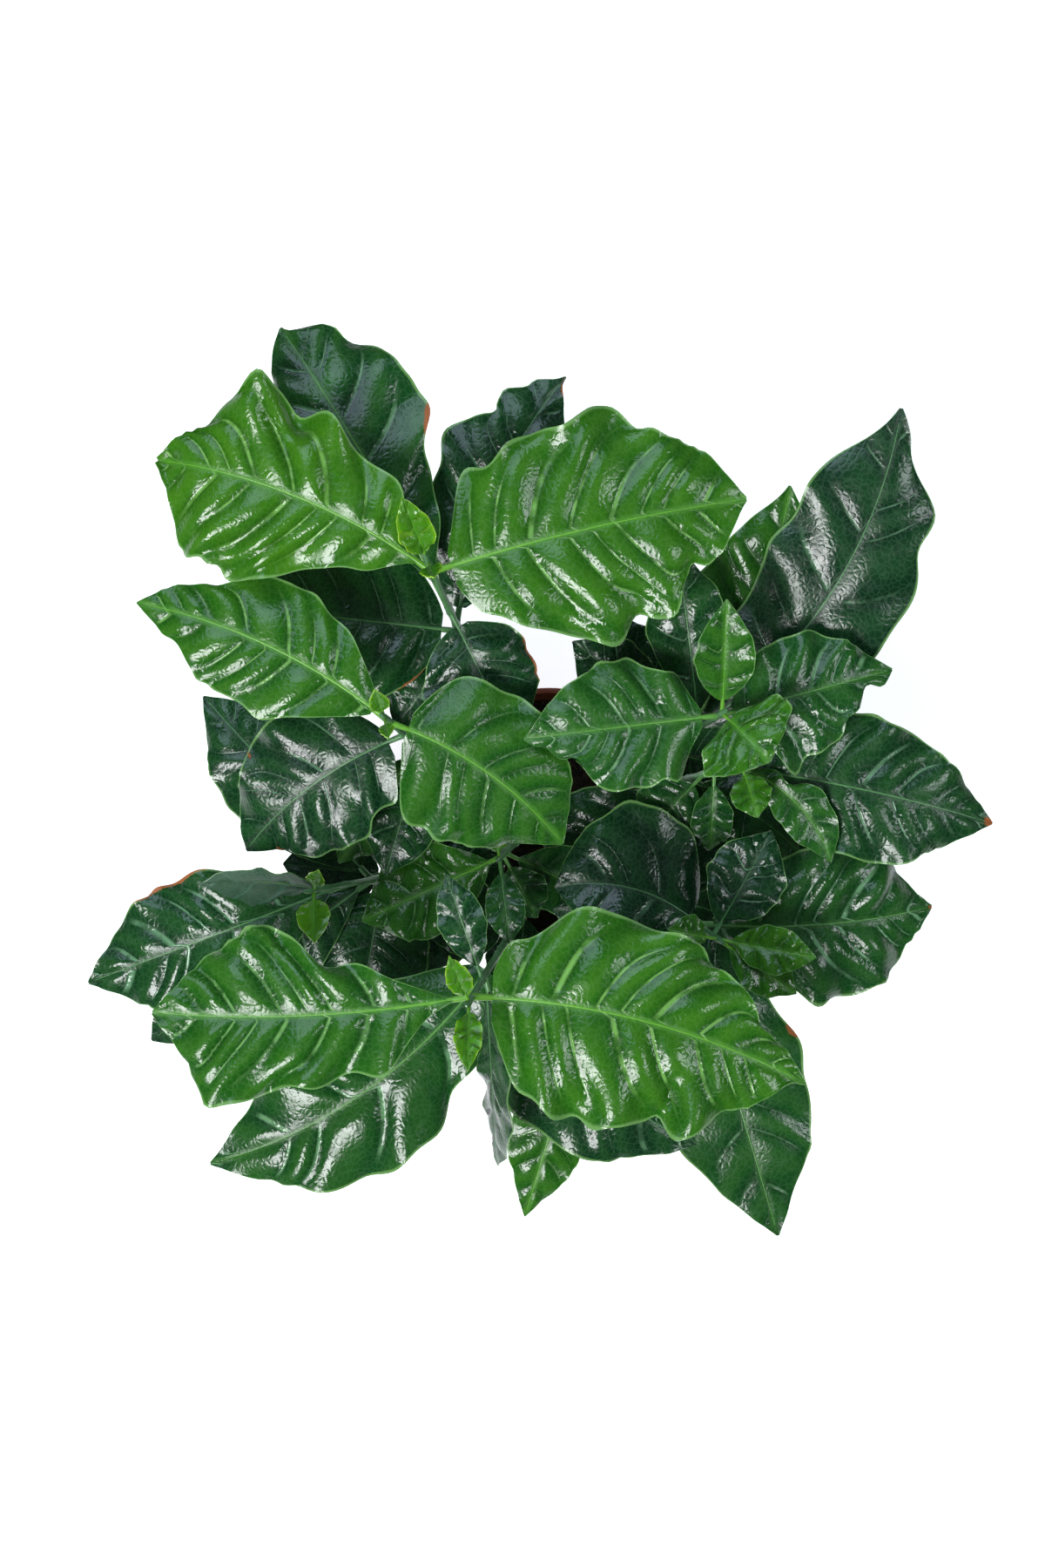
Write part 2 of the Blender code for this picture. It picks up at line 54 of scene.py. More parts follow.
# %% [markdown]
# ## The camera
# The plant is seen from straight above, so the camera hangs over it and looks down. It is
# about a metre over the top leaves, near enough for high leaves to look larger than low ones.
# A long lens from further away would lose that.

# %% Hang the camera over the plant
CAMERA_PLACE = (-0.01215, 0.0154, 1.30)
LONG_SIDE_SENSOR = 36.0
LENS = 59.0

bpy.ops.object.select_all(action="DESELECT")
bpy.ops.object.camera_add(location=CAMERA_PLACE, rotation=(0.0, 0.0, 0.0))
camera = bpy.context.object
camera.name = "camera_overhead"
camera.data.sensor_width = LONG_SIDE_SENSOR
camera.data.lens = LENS
bpy.context.scene.camera = camera
print("camera over the pot at", CAMERA_PLACE)

# %% [markdown]
# ## The seedlings and their leaves
# Each row of the table is one leaf, in millimetres and degrees: the height of its joint on the
# stem, its heading from the right of the pot, its length and width, where along the blade it is
# widest, its pitch at the stem and at the tip, how far its heading turns, its roll, the rise
# of its halves from the midrib, the waves in its margin, its tone from old (0) to young (1),
# and how high the cushions between its veins stand. On several leaves the tone also holds
# painted light and shade: it is raised on some that lie in shade and on some with a bluish
# sheen, and lowered on a few that their gloss already lightens.

# %% Table of seedlings
Leaf = namedtuple(
    "Leaf", "z heading length width widest rise droop sweep roll cup wave tone quilt")
Seedling = namedtuple("Seedling", "name foot top grown young")

SEEDLINGS = [
    Seedling("back_left", (-18, 34), (-49, 102, 300), [
        Leaf(291, 158, 122, 79, 0.64, 10, -16, 28, -6, 0.05, 3.0, 0.60, 1.6),
        Leaf(292, 13, 128, 91, 0.50, 8, -12, -8, 4, 0.10, 3.0, 0.55, 1.4),
        Leaf(262, 121, 134, 67, 0.68, 20, -20, 6, 0, 0.06, 2.5, 0.26, 1.0),
        Leaf(258, 296, 64, 50, 0.42, 6, -44, 0, 0, 0.10, 2.0, 0.05, 0.9),
        Leaf(246, 66, 113, 50, 0.48, 22, -10, -30, 0, 0.08, 2.0, 0.05, 1.0),
        Leaf(240, 174, 101, 72, 0.42, 12, -25, 0, 0, 0.05, 2.0, 0.10, 0.8),
        Leaf(232, 232, 47, 40, 0.45, 6, -20, 0, 0, 0.10, 2.0, 0.05, 0.9),
    ], [
        Leaf(299, 112, 32, 14, 0.45, 50, 20, 0, 0, 0.55, 0.5, 0.92, 1.4),
        Leaf(299, 292, 22, 9, 0.45, 74, 62, 0, 0, 0.30, 0.5, 1.00, 0.2),
    ]),
    Seedling("left", (-36, 12), (-67, 42, 284), [
        Leaf(276, 155, 115, 52, 0.50, 8, -18, 28, 0, 0.04, 1.5, 0.55, 1.3),
        Leaf(273, 324, 91, 66, 0.44, -2, -34, -34, 0, 0.04, 2.0, 0.48, 0.9),
        Leaf(250, 216, 90, 60, 0.46, 0, -40, 30, 0, 0.04, 3.0, 0.05, 0.9),
        Leaf(226, 235, 66, 26, 0.50, -10, -36, 0, 0, 0.10, 1.5, 0.45, 0.8),
        Leaf(196, 352, 58, 36, 0.48, 8, -24, 0, 0, 0.08, 2.0, 0.10, 0.7),
        Leaf(219, 254, 56, 32, 0.50, 12, -10, 0, 0, 0.10, 1.0, 0.10, 0.8),
    ], [
        Leaf(283, 285, 16, 6, 0.42, 62, 50, 0, 0, 0.40, 0.2, 0.90, 0.2),
        Leaf(283, 105, 22, 8, 0.42, 66, 56, 0, 0, 0.40, 0.2, 0.95, 0.2),
    ]),
    Seedling("front", (-6, -34), (-33, -69, 308), [
        Leaf(299, 183, 127, 68, 0.64, 6, -12, -14, 4, 0.12, 3.0, 0.48, 2.0),
        Leaf(300, 345, 138, 84, 0.42, 6, -16, -28, -4, 0.10, 3.0, 0.58, 1.6),
        Leaf(276, 109, 46, 19, 0.50, 20, -10, 0, 0, 0.12, 1.0, 0.10, 0.8),
        Leaf(268, 273, 91, 30, 0.50, 0, -50, 0, 68, 0.06, 1.5, 0.10, 0.7),
        Leaf(236, 216, 156, 71, 0.46, 5, -20, -40, 0, 0.06, 3.0, 0.26, 1.9),
        Leaf(228, 315, 122, 68, 0.48, 2, -20, 40, 0, 0.06, 2.5, 0.05, 1.2),
        Leaf(142, 262, 48, 30, 0.50, 20, -24, 0, 0, 0.08, 1.5, 0.05, 0.8),
        Leaf(180, 175, 46, 34, 0.36, 8, -16, 0, 0, 0.08, 2.0, 0.05, 0.8),
    ], [
        Leaf(307, 110, 32, 10, 0.45, 58, 40, 0, 0, 0.30, 0.4, 0.95, 0.9),
        Leaf(307, 270, 34, 11, 0.45, 54, 32, 0, 0, 0.30, 0.4, 0.92, 0.9),
    ]),
    Seedling("right", (34, 20), (68, 44, 272), [
        Leaf(266, 187, 80, 52, 0.48, 15, -6, 0, 0, 0.10, 2.0, 0.34, 1.3),
        Leaf(263, 15, 76, 49, 0.46, 6, -20, 0, 0, 0.10, 2.5, 0.27, 1.3),
        Leaf(222, 57, 168, 62, 0.55, 26, 4, 50, 0, 0.06, 2.0, 0.00, 0.7),
        Leaf(210, 67, 121, 54, 0.52, 28, 8, 30, 0, 0.06, 2.0, 0.45, 0.8),
        Leaf(226, 142, 63, 30, 0.60, 16, -10, 0, 0, 0.12, 1.5, 0.00, 1.3),
        Leaf(240, 98, 77, 33, 0.55, 30, -10, 0, 0, 0.12, 1.5, 0.10, 0.9),
        Leaf(204, 122, 68, 36, 0.50, 16, -8, 0, 0, 0.10, 1.5, 0.05, 0.9),
        Leaf(184, 344, 74, 46, 0.32, 6, -24, 0, 0, 0.08, 2.0, 0.10, 0.8),
    ], [
        Leaf(271, 90, 50, 24, 0.46, 36, 18, 0, 0, 0.40, 1.0, 0.52, 0.8),
        Leaf(271, 312, 32, 44, 0.45, 56, -10, 0, 0, 0.16, 1.5, 0.60, 0.9),
    ]),
    Seedling("front_right", (30, -22), (69, -49, 238), [
        Leaf(214, 4, 104, 68, 0.52, 14, -26, 16, 9, 0.08, 3.0, 0.22, 1.6),
        Leaf(220, 165, 68, 72, 0.46, 14, -16, 60, 8, 0.20, 1.0, 0.00, 0.7),
        Leaf(208, 176, 60, 34, 0.55, 8, -20, 0, 0, 0.12, 1.0, 0.08, 0.7),
        Leaf(232, 61, 51, 33, 0.50, 20, -16, 0, 0, 0.14, 1.5, 0.00, 1.2),
        Leaf(190, 84, 54, 46, 0.36, 6, -14, 0, 0, 0.10, 1.5, 0.05, 0.8),
        Leaf(196, 287, 149, 64, 0.50, 8, -18, 0, 0, 0.10, 2.0, 0.22, 0.8),
        Leaf(164, 344, 60, 40, 0.46, 6, -22, 0, 0, 0.08, 2.0, 0.05, 0.8),
        Leaf(206, 330, 46, 38, 0.50, 6, -16, 0, 0, 0.10, 1.5, 0.10, 0.8),
    ], [
        Leaf(237, 350, 42, 20, 0.50, 24, 4, 0, 0, 0.24, 0.8, 0.64, 1.1),
        Leaf(237, 168, 25, 16, 0.50, 40, 10, 0, 0, 0.20, 0.8, 0.55, 0.5),
        Leaf(237, 325, 40, 20, 0.50, 10, -12, 0, 0, 0.20, 0.8, 0.58, 0.9),
    ]),
    Seedling("front_left", (-32, -20), (-100, -29, 228), [
        Leaf(208, 201, 121, 56, 0.54, 8, -22, 0, 0, 0.08, 2.5, 0.10, 1.7),
        Leaf(220, 178, 54, 34, 0.50, 30, -20, 0, 118, 0.20, 0.8, 0.10, 0.6),
        Leaf(190, 133, 111, 50, 0.52, 4, -20, 0, 0, 0.08, 2.0, 0.05, 0.8),
        Leaf(182, 260, 66, 52, 0.46, 6, -20, 0, 0, 0.10, 1.5, 0.05, 0.8),
        Leaf(190, 216, 128, 56, 0.58, 0, -30, 0, 0, 0.08, 2.0, 0.05, 0.9),
        Leaf(175, 174, 50, 38, 0.46, 4, -20, 0, 0, 0.10, 1.5, 0.05, 0.8),
    ], [
        Leaf(227, 275, 28, 14, 0.45, 50, 30, 0, 0, 0.50, 0.4, 0.88, 0.3),
        Leaf(227, 70, 20, 8, 0.45, 70, 50, 0, 0, 0.30, 0.4, 0.90, 0.3),
    ]),
    Seedling("middle", (-8, -4), (-22, -16, 222), [
        Leaf(214, 205, 67, 40, 0.50, 8, -22, 0, 0, 0.08, 2.5, 0.46, 2.0),
        Leaf(210, 298, 32, 22, 0.50, 0, -30, 0, 0, 0.10, 1.5, 0.30, 1.0),
        Leaf(196, 176, 66, 38, 0.50, 14, -20, 0, 0, 0.08, 2.0, 0.05, 1.0),
        Leaf(204, 335, 47, 31, 0.55, 4, -24, 0, 0, 0.10, 1.5, 0.30, 0.6),
        Leaf(170, 222, 96, 43, 0.50, 8, -20, 0, 0, 0.08, 2.0, 0.00, 0.8),
        Leaf(204, 156, 62, 36, 0.50, 10, -14, 0, 0, 0.10, 1.5, 0.05, 0.9),
    ], [
        Leaf(221, 277, 37, 17, 0.50, 20, -10, 0, 0, 0.20, 0.8, 0.20, 0.5),
        Leaf(221, 97, 22, 10, 0.45, 60, 40, 0, 0, 0.24, 0.4, 0.60, 0.3),
    ]),
    Seedling("far_right", (16, 4), (78, 24, 246), [
        Leaf(236, 348, 116, 59, 0.50, 6, -20, -10, 0, 0.08, 3.0, 0.10, 1.2),
        Leaf(240, 315, 60, 22, 0.55, 10, -18, -56, 0, 0.24, 1.0, 0.34, 0.6),
        Leaf(226, 268, 36, 18, 0.50, 0, -40, 0, 0, 0.20, 1.0, 0.30, 0.9),
        Leaf(218, 226, 38, 30, 0.50, 4, -30, 0, 0, 0.10, 1.0, 0.25, 0.8),
        Leaf(206, 325, 70, 36, 0.52, 0, -30, -24, 0, 0.10, 1.5, 0.20, 0.8),
        Leaf(182, 219, 66, 46, 0.50, 4, -24, 0, 0, 0.08, 1.5, 0.10, 0.7),
    ], [
        Leaf(245, 285, 26, 17, 0.50, 44, 0, 0, 0, 0.20, 0.8, 0.60, 0.4),
        Leaf(245, 105, 22, 9, 0.45, 60, 40, 0, 0, 0.30, 0.4, 0.80, 0.3),
    ]),
    Seedling("front_low", (14, -40), (16, -82, 206), [
        Leaf(198, 254, 101, 36, 0.48, 4, -26, 0, 0, 0.08, 1.5, 0.50, 1.0),
        Leaf(194, 60, 40, 24, 0.50, 10, -20, 0, 0, 0.10, 1.0, 0.10, 0.7),
        Leaf(172, 340, 64, 36, 0.50, 10, -20, 0, 0, 0.10, 1.5, 0.10, 0.7),
    ], [
        Leaf(205, 160, 22, 9, 0.45, 60, 40, 0, 0, 0.30, 0.4, 0.75, 0.3),
        Leaf(205, 340, 20, 8, 0.45, 66, 44, 0, 0, 0.30, 0.4, 0.75, 0.3),
    ]),
]

print("leaves:", sum(len(one.grown) + len(one.young) for one in SEEDLINGS))

# %% [markdown]
# ## What makes a leaf different from its neighbours
# No two coffee leaves have the same outline. One side is fuller than the other, a lobe stands out
# beyond a notch, a tip is drawn out. Each bulge below moves one margin out by some millimetres
# (in, when negative) around a place along the blade. The side is 1 for the left margin, seen from
# the stem, and -1 for the right one. A fold lifts the blade around one point, given by its place
# along the blade and its share of the way to the margin. A scorch dries the blade out around a
# point in the same way. The last table holds the leaves whose wax has grown dull: each value is
# added to the roughness of the leaf's upper side. A loop gives the rows their names.

# %% Bulges, folds and scorched edges
Bulge = namedtuple("Bulge", "side place spread reach")
Fold = namedtuple("Fold", "place across length width lift")
Scorch = namedtuple("Scorch", "place across length width strength")

BULGES = {
    "back_left 1": (
        (1, 0.14, 0.08, 5), (1, 0.86, 0.07, 10), (-1, 0.20, 0.08, 9), (-1, 0.56, 0.06, -8),
        (-1, 0.70, 0.035, 5), (-1, 0.83, 0.07, -9)),
    "back_left 2": (
        (1, 0.13, 0.07, 12), (1, 0.46, 0.05, -4), (1, 0.56, 0.04, 2), (1, 0.68, 0.04, -3),
        (1, 0.90, 0.06, 5), (-1, 0.06, 0.06, 8), (-1, 0.57, 0.05, -6), (-1, 0.69, 0.03, 3),
        (-1, 0.78, 0.045, -8), (-1, 0.90, 0.05, 4)),
    "back_left 3": (
        (1, 0.72, 0.08, -14), (1, 0.85, 0.05, -5), (-1, 0.52, 0.06, 4), (-1, 0.67, 0.04, -2),
        (-1, 0.84, 0.04, -3), (-1, 0.91, 0.03, 3), (-1, 0.97, 0.02, -3), (-1, 0.22, 0.10, 5)),
    "back_left 4": ((1, 0.45, 0.12, -4), (1, 0.75, 0.08, -3)),
    "back_left 5": (
        (1, 0.62, 0.07, 5), (1, 0.74, 0.03, -3), (1, 0.83, 0.04, 4), (1, 0.92, 0.03, 3),
        (-1, 0.96, 0.03, -2)),
    "left 1": ((1, 0.35, 0.10, 2.5), (1, 0.79, 0.06, -3), (-1, 0.41, 0.06, 2), (-1, 0.73, 0.10, -5)),
    "left 2": ((-1, 0.18, 0.12, 9), (1, 0.13, 0.09, 8)),
    "left 3": ((1, 0.10, 0.08, 8), (-1, 0.30, 0.20, 4)),
    "front 1": (
        (1, 0.25, 0.08, 10), (1, 0.56, 0.08, -5), (1, 0.80, 0.06, 8), (-1, 0.42, 0.09, -7),
        (-1, 0.62, 0.04, 2)),
    "front 2": (
        (1, 0.05, 0.04, 5), (1, 0.46, 0.10, -6), (1, 0.62, 0.08, -6), (1, 0.80, 0.09, -9),
        (-1, 0.10, 0.07, 9), (-1, 0.23, 0.08, 7), (-1, 0.36, 0.08, 2), (-1, 0.60, 0.03, -3),
        (-1, 0.69, 0.06, 8), (-1, 0.86, 0.05, 4), (-1, 0.95, 0.03, -3)),
    "front 5": ((1, 0.30, 0.10, -9), (1, 0.46, 0.05, -2)),
    "right 1": (
        (1, 0.17, 0.07, 8), (1, 0.73, 0.09, -8), (1, 0.88, 0.05, -4), (-1, 0.12, 0.06, 6),
        (-1, 0.38, 0.08, 3)),
    "right 2": ((-1, 0.27, 0.07, 10), (-1, 0.68, 0.07, -7), (-1, 0.81, 0.06, -11)),
    "right 3": (
        (1, 0.80, 0.10, 5), (1, 0.22, 0.10, 6), (-1, 0.69, 0.05, -5), (-1, 0.78, 0.03, 2),
        (-1, 0.88, 0.05, -4)),
    "front_right 1": ((1, 0.80, 0.07, 4), (-1, 0.14, 0.08, -3)),
    "far_right 1": ((1, 0.33, 0.08, 5), (1, 0.73, 0.07, -2)),
    "far_right 2": ((1, 0.31, 0.08, -5),),
}
FOLDS = {
    "back_left 1": (
        (0.98, 0.0, 0.09, 1.6, -5), (0.56, -0.9, 0.05, 0.35, -3.5), (0.70, -1.0, 0.05, 0.5, 3)),
    "back_left 3": ((0.74, 0.9, 0.08, 0.4, -3), (0.92, -0.7, 0.05, 0.6, 2)),
    "front 2": ((0.62, -0.8, 0.03, 0.35, -3), (0.70, -0.9, 0.05, 0.4, 2.5)),
    "front_right 1": (
        (0.30, 0.45, 0.10, 0.34, 3), (0.52, 0.55, 0.10, 0.34, 3), (0.72, 0.40, 0.09, 0.30, 2.5),
        (0.28, -0.5, 0.09, 0.34, 2.5), (0.48, -0.45, 0.10, 0.32, 3), (0.68, -0.5, 0.10, 0.34, 2.5)),
    "front_right 2": ((0.55, 0.75, 0.25, 0.30, 4),),
    "front_left 1": ((0.42, -0.5, 0.2, 0.9, 4),),
    "front_left 2": ((0.5, 0.0, 0.6, 0.25, 3), (0.5, 0.6, 0.3, 0.3, -3)),
}
SCORCHES = {
    "back_left 3": ((0.50, -1.0, 0.05, 0.10, 1.0),),
    "back_left 4": ((0.45, 1.0, 0.30, 0.07, 0.8),),
    "back_left 5": ((0.97, -0.9, 0.05, 0.4, 1.0),),
    "back_left 6": ((0.12, 1.0, 0.08, 0.08, 0.8),),
    "left 3": ((0.86, 0.9, 0.025, 0.20, 0.75), (0.62, -0.95, 0.02, 0.12, 0.7)),
    "front 6": ((0.62, 1.0, 0.10, 0.06, 0.9),),
    "front_right 1": ((1.0, 0.0, 0.03, 1.0, 0.9),),
    "front_right 2": ((0.30, 1.0, 0.10, 0.06, 0.9),),
    "front_right 6": ((0.40, 1.0, 0.03, 0.10, 1.0),),
    "front_left 1": ((0.55, -1.0, 0.20, 0.05, 1.0),),
    "far_right 1": ((1.0, 0.0, 0.05, 1.2, 1.0),),
}
DULLNESS = {
    "left 3": 0.04, "left 4": 0.04, "right 3": 0.04, "front_right 6": 0.03, "back_left 4": 0.04,
    "left 2": 0.03, "right 1": 0.03, "far_right 1": 0.03, "front 4": 0.05}
for table, kind in ((BULGES, Bulge), (FOLDS, Fold), (SCORCHES, Scorch)):
    for name, rows in table.items():
        table[name] = [kind(*row) for row in rows]
print("leaves with an outline of their own:", len(BULGES), "and with a duller skin:", len(DULLNESS))

# %% [markdown]
# ## A few helpers
# An operator in Blender acts on whatever is selected, so the first helper selects some objects
# and nothing else. The next ones turn a colour from a picture into the linear values that a
# shader wants, and add a node to a material together with its settings and links.
#
# A shader is a chain of small steps, and the nodes used most are named here with their settings.
# FADE goes smoothly from one value to another while its first input goes from a start to an end.
# BLEND mixes colour 6 with colour 7 by share 0. CELLS tells how near the edge of a cell is.

# %% Helpers
TIMES = ("Math", {"operation": "MULTIPLY"})
TIMES_PLUS = ("Math", {"operation": "MULTIPLY_ADD"})
PLUS = ("Math", {"operation": "ADD"})
FADE = ("MapRange", {"interpolation_type": "SMOOTHSTEP"})
BLEND = ("Mix", {"data_type": "RGBA"})
CELLS = ("TexVoronoi", {"feature": "DISTANCE_TO_EDGE"})


def select_only(*chosen):
    """Select these objects and make the first one active."""
    bpy.ops.object.select_all(action="DESELECT")
    for obj in chosen:
        obj.select_set(True)
    bpy.context.view_layer.objects.active = chosen[0]


def from_hex(code):
    """Turn an sRGB hex colour into a linear RGBA colour."""
    channels = [int(code[start:start + 2], 16) / 255.0 for start in (1, 3, 5)]
    linear = [c / 12.92 if c <= 0.04045 else ((c + 0.055) / 1.055) ** 2.4 for c in channels]
    return (*linear, 1.0)


def add_node(tree, kind, settings=None, inputs=(), output=0):
    """Add a node, set its properties, link or set its inputs, and return one of its outputs."""
    node = tree.nodes.new("ShaderNode" + kind)
    for key, value in (settings or {}).items():
        setattr(node, key, value)
    given = inputs.items() if isinstance(inputs, dict) else enumerate(inputs)
    for key, value in given:
        if isinstance(value, bpy.types.NodeSocket):
            tree.links.new(value, node.inputs[key])
        else:
            node.inputs[key].default_value = from_hex(value) if isinstance(value, str) else value
    return node.outputs[output]


def new_material(name, **values):
    """Return a new material with sockets set by name, and a function that adds nodes to it."""
    material = bpy.data.materials.new(name)
    material.use_nodes = True
    shader = material.node_tree.nodes["Principled BSDF"]
    for key, value in values.items():
        shader.inputs[key.replace("_", " ")].default_value = value
    return material, partial(add_node, material.node_tree)


def finish_material(material, colour, height, strength=1.0, roughness=None):
    """Link a material's colour, its relief of a height in mm, and its roughness if that varies."""
    tree = material.node_tree
    normal = add_node(tree, "Bump", None, {"Strength": strength, "Distance": MM, "Height": height})
    links = {"Base Color": colour, "Normal": normal, "Roughness": roughness}
    for name, output in links.items():
        if output is not None:
            tree.links.new(output, tree.nodes["Principled BSDF"].inputs[name])
    return material


def give_material(obj, *materials):
    """Put these materials, and no others, in an object's slots."""
    obj.data.materials.clear()
    for material in materials:
        obj.data.materials.append(material)


print("young leaf green in linear values:", [round(c, 3) for c in from_hex("#558c19")])

# %% [markdown]
# ## The finish of a leaf's upper side
# A coffee leaf is covered by a smooth wax film, the cuticle, so it shines like polished plastic.
# The film follows a fine net of veins, and that net breaks each highlight into flecks. The side
# veins are thin pale lines at the bottom of sunken channels.
#
# The pattern has to follow each blade, so every blade carries three attributes, each of three
# values. "leaf_map" says where a point lies: how many side veins it has passed, how far it is
# from the midrib in millimetres, and its share of the way to the margin. "leaf_tone" says how
# young the leaf is, together with the painted light and shade that some leaves carry in that
# value, how much it differs from its neighbours, and where its edge has dried out.
# "leaf_skin" says how high its cushions stand and how dull its wax has become.
#
# The sizes below are in millimetres. The net and the flecks are drawn two or three times coarser
# than on a real leaf, because the real ones would be lost between the pixels.

# %% Sizes of the patterns on a leaf
PER_METRE = 1000.0
VEIN_SPACING = 14.0
VEIN_LINE = 0.5
NET_CELL = 2.6
FLECK_SIZE = 1.7
PATCH_SIZE = 14.0
WEAR_AND_GLOW_SIZE = 9.0
GLOSS_SIZE = 5.0
CRUST_SIZE = 2.5
CUTICLE_IOR = 1.45


def read_leaf(add, name):
    """Return the three values that a blade keeps at each point under this name."""
    kept = add("Attribute", {"attribute_name": name}, output="Vector")
    return add("SeparateXYZ", inputs=[kept]).node.outputs


def from_vein(add, passed):
    """Return how far a point is from the nearest side vein, in mm."""
    turn = add("Math", {"operation": "PINGPONG"}, (passed, 0.5))
    return add(*TIMES, (turn, VEIN_SPACING))


print("net of veins every", NET_CELL, "mm, side veins about every", VEIN_SPACING, "mm")

# %% [markdown]
# ## Green by age
# A leaf starts lime, turns mid green and ends as a dark blue-green, so one colour ramp from old
# to young serves the whole plant. Chlorophyll never spreads quite evenly, so soft patches shift
# the age a little from place to place.

# %% Colour of the blade
AGE_COLOURS = (
    (0.02, "#062c15"), (0.25, "#0f4116"), (0.50, "#1b530d"), (0.60, "#275f0a"), (0.78, "#417808"),
    (0.98, "#5c9412"))
PATCH_SHIFT = 0.26


def age_colour(add, coords, tone, differs):
    """Return the blade's own green."""
    patches = add("TexNoise", None, {"Vector": coords, "Scale": PER_METRE / PATCH_SIZE, "Detail": 3.0})
    shift = add(*TIMES_PLUS, (patches, PATCH_SHIFT, -PATCH_SHIFT / 2.0))
    shifted = add(*PLUS, (tone, shift))
    age = add(*PLUS, (shifted, differs))
    blade = add("ValToRGB", None, [age])
    stops = blade.node.color_ramp.elements
    stops[0].position = AGE_COLOURS[0][0]
    stops[1].position = AGE_COLOURS[-1][0]
    for position, _ in AGE_COLOURS[1:-1]:
        stops.new(position)
    for stop, (_, code) in zip(stops, AGE_COLOURS):
        stop.color = from_hex(code)
    return blade


print("greens from old to young:", [code for _, code in AGE_COLOURS])

# %% [markdown]
# ## Veins
# The side veins could be modelled one by one, but a line that follows the count of veins passed
# does the same at no cost. Each line is worn in places, ends before the margin, and is broader
# where the leaf is strongly quilted. The channel beside it is darker, since less light gets in,
# and the top of each cushion is paler, because the light there shines through the thin blade.

# %% Colour of the veins
def vein_line(add, wear_and_glow_noise, beside, quilt, reach):
    """Return how strongly the pale line of a side vein shows."""
    width = add(*FADE, (quilt, 0.8, 1.6, VEIN_LINE, VEIN_LINE * 1.7))
    widths_off = add("Math", {"operation": "DIVIDE"}, (beside, width))
    line = add(*FADE, (widths_off, 0.3, 1.3, 1.0, 0.0))
    kept = add(*FADE, (wear_and_glow_noise, 0.35, 0.65, 0.15, 1.0))
    line = add(*TIMES, (line, kept))
    return add(*TIMES, (line, reach))


def cushion_light_and_shade(add, blade, tone, wear_and_glow_noise, beside, reach):
    """Return the blade with painted light on the tops of its cushions and painted shade in its channels."""
    # Painted light: the cushion tops away from the veins are paler, broken up by the same noise that wears
    # the vein lines.
    glow_distance = add(*TIMES, (beside, wear_and_glow_noise))
    cushion_glow = add(*FADE, (glow_distance, 0.8, 3.0, 0.0, 0.22))
    pale = add(*BLEND, {0: tone, 6: "#28592a", 7: "#5f9a1e"}, 2)
    blade = add(*BLEND, {0: cushion_glow, 6: blade, 7: pale}, 2)
    # Painted shade: the channels beside the veins are darker.
    dark = add(*BLEND, {0: 0.7, 6: blade, 7: "#041d09"}, 2)
    depth = add(*FADE, (beside, 0.2, 2.8, 0.62, 0.0))
    channel_shade = add(*TIMES, (depth, reach))
    return add(*BLEND, {0: channel_shade, 6: blade, 7: dark}, 2)


def vein_colour(add, blade, tone, quilt, net, vein):
    """Return the blade with its net of veins and its side veins drawn on it."""
    youth = add(*FADE, (tone, 0.1, 0.9))
    # On old leaves this bluish pale is partly the veins' own colour and partly a painted highlight on the
    # raised vein.
    pale = add(*BLEND, {0: youth, 6: "#639069", 7: "#6fa832"}, 2)
    mesh_line = add(*FADE, (net, 0.0, 0.12, 0.10, 0.0))
    blade = add(*BLEND, {0: mesh_line, 6: blade, 7: pale}, 2)
    clear = add(*FADE, (quilt, 0.7, 1.5, 0.45, 0.9))
    shown = add(*TIMES, (vein, clear))
    return add(*BLEND, {0: shown, 6: blade, 7: pale}, 2)


print("a side vein's line is", VEIN_LINE, "mm wide, and up to", VEIN_LINE * 1.7, "mm on a quilted leaf")

# %% [markdown]
# ## Midrib, margin and dried edges
# Beside the midrib the blade is lit from within. The newest leaves have a dark green core in each
# cushion and a bright lime rim, and older ones only a thin pale rim; each rim is partly the
# margin's own paler green and partly a painted highlight. Where the tip or edge of an old leaf
# has dried out it is rusty brown, with a ragged border.

# %% Colour of the edges
def edge_colour(add, blade, tone, beside, from_rib, to_margin):
    """Return the blade with a painted glow beside the midrib, a pale rim that is partly a painted highlight
    and, when young, dark cores.
    """
    # Painted light: the blade beside the midrib is paler, as if lit from within.
    near_rib = add(*FADE, (from_rib, 0.5, 2.2, 0.4, 0.0))
    youth = add(*FADE, (tone, 0.1, 0.5))
    glow = add(*TIMES, (near_rib, youth))
    blade = add(*BLEND, {0: glow, 6: blade, 7: "#4d8c2a"}, 2)
    fresh = add(*FADE, (tone, 0.80, 0.95))
    between = add(*FADE, (beside, 0.6, 1.6, 0.0, 0.75))
    inside = add(*FADE, (to_margin, 0.7, 0.97, 1.0, 0.0))
    core = add(*TIMES, (between, inside))
    core = add(*TIMES, (core, fresh))
    blade = add(*BLEND, {0: core, 6: blade, 7: "#2a680e"}, 2)
    # The pale rim is partly the margin's own paler green and partly a painted highlight along the thin
    # edge.
    rim_and_highlight = add(*FADE, (to_margin, 0.955, 0.985, 0.0, 0.7))
    pale = add(*BLEND, {0: fresh, 6: "#6f9c58", 7: "#a9d340"}, 2)
    return add(*BLEND, {0: rim_and_highlight, 6: blade, 7: pale}, 2)


def dry_share(add, coords, dried):
    """Return where the leaf has dried out, with a ragged border."""
    crust = add("TexNoise", None, {"Vector": coords, "Scale": PER_METRE / CRUST_SIZE, "Detail": 4.0})
    ragged = add(*TIMES_PLUS, (crust, 0.4, -0.2))
    edge = add(*PLUS, (dried, ragged))
    return add(*FADE, (edge, 0.42, 0.60))


print("rim of a young leaf, linear:", [round(c, 3) for c in from_hex("#a9d340")])

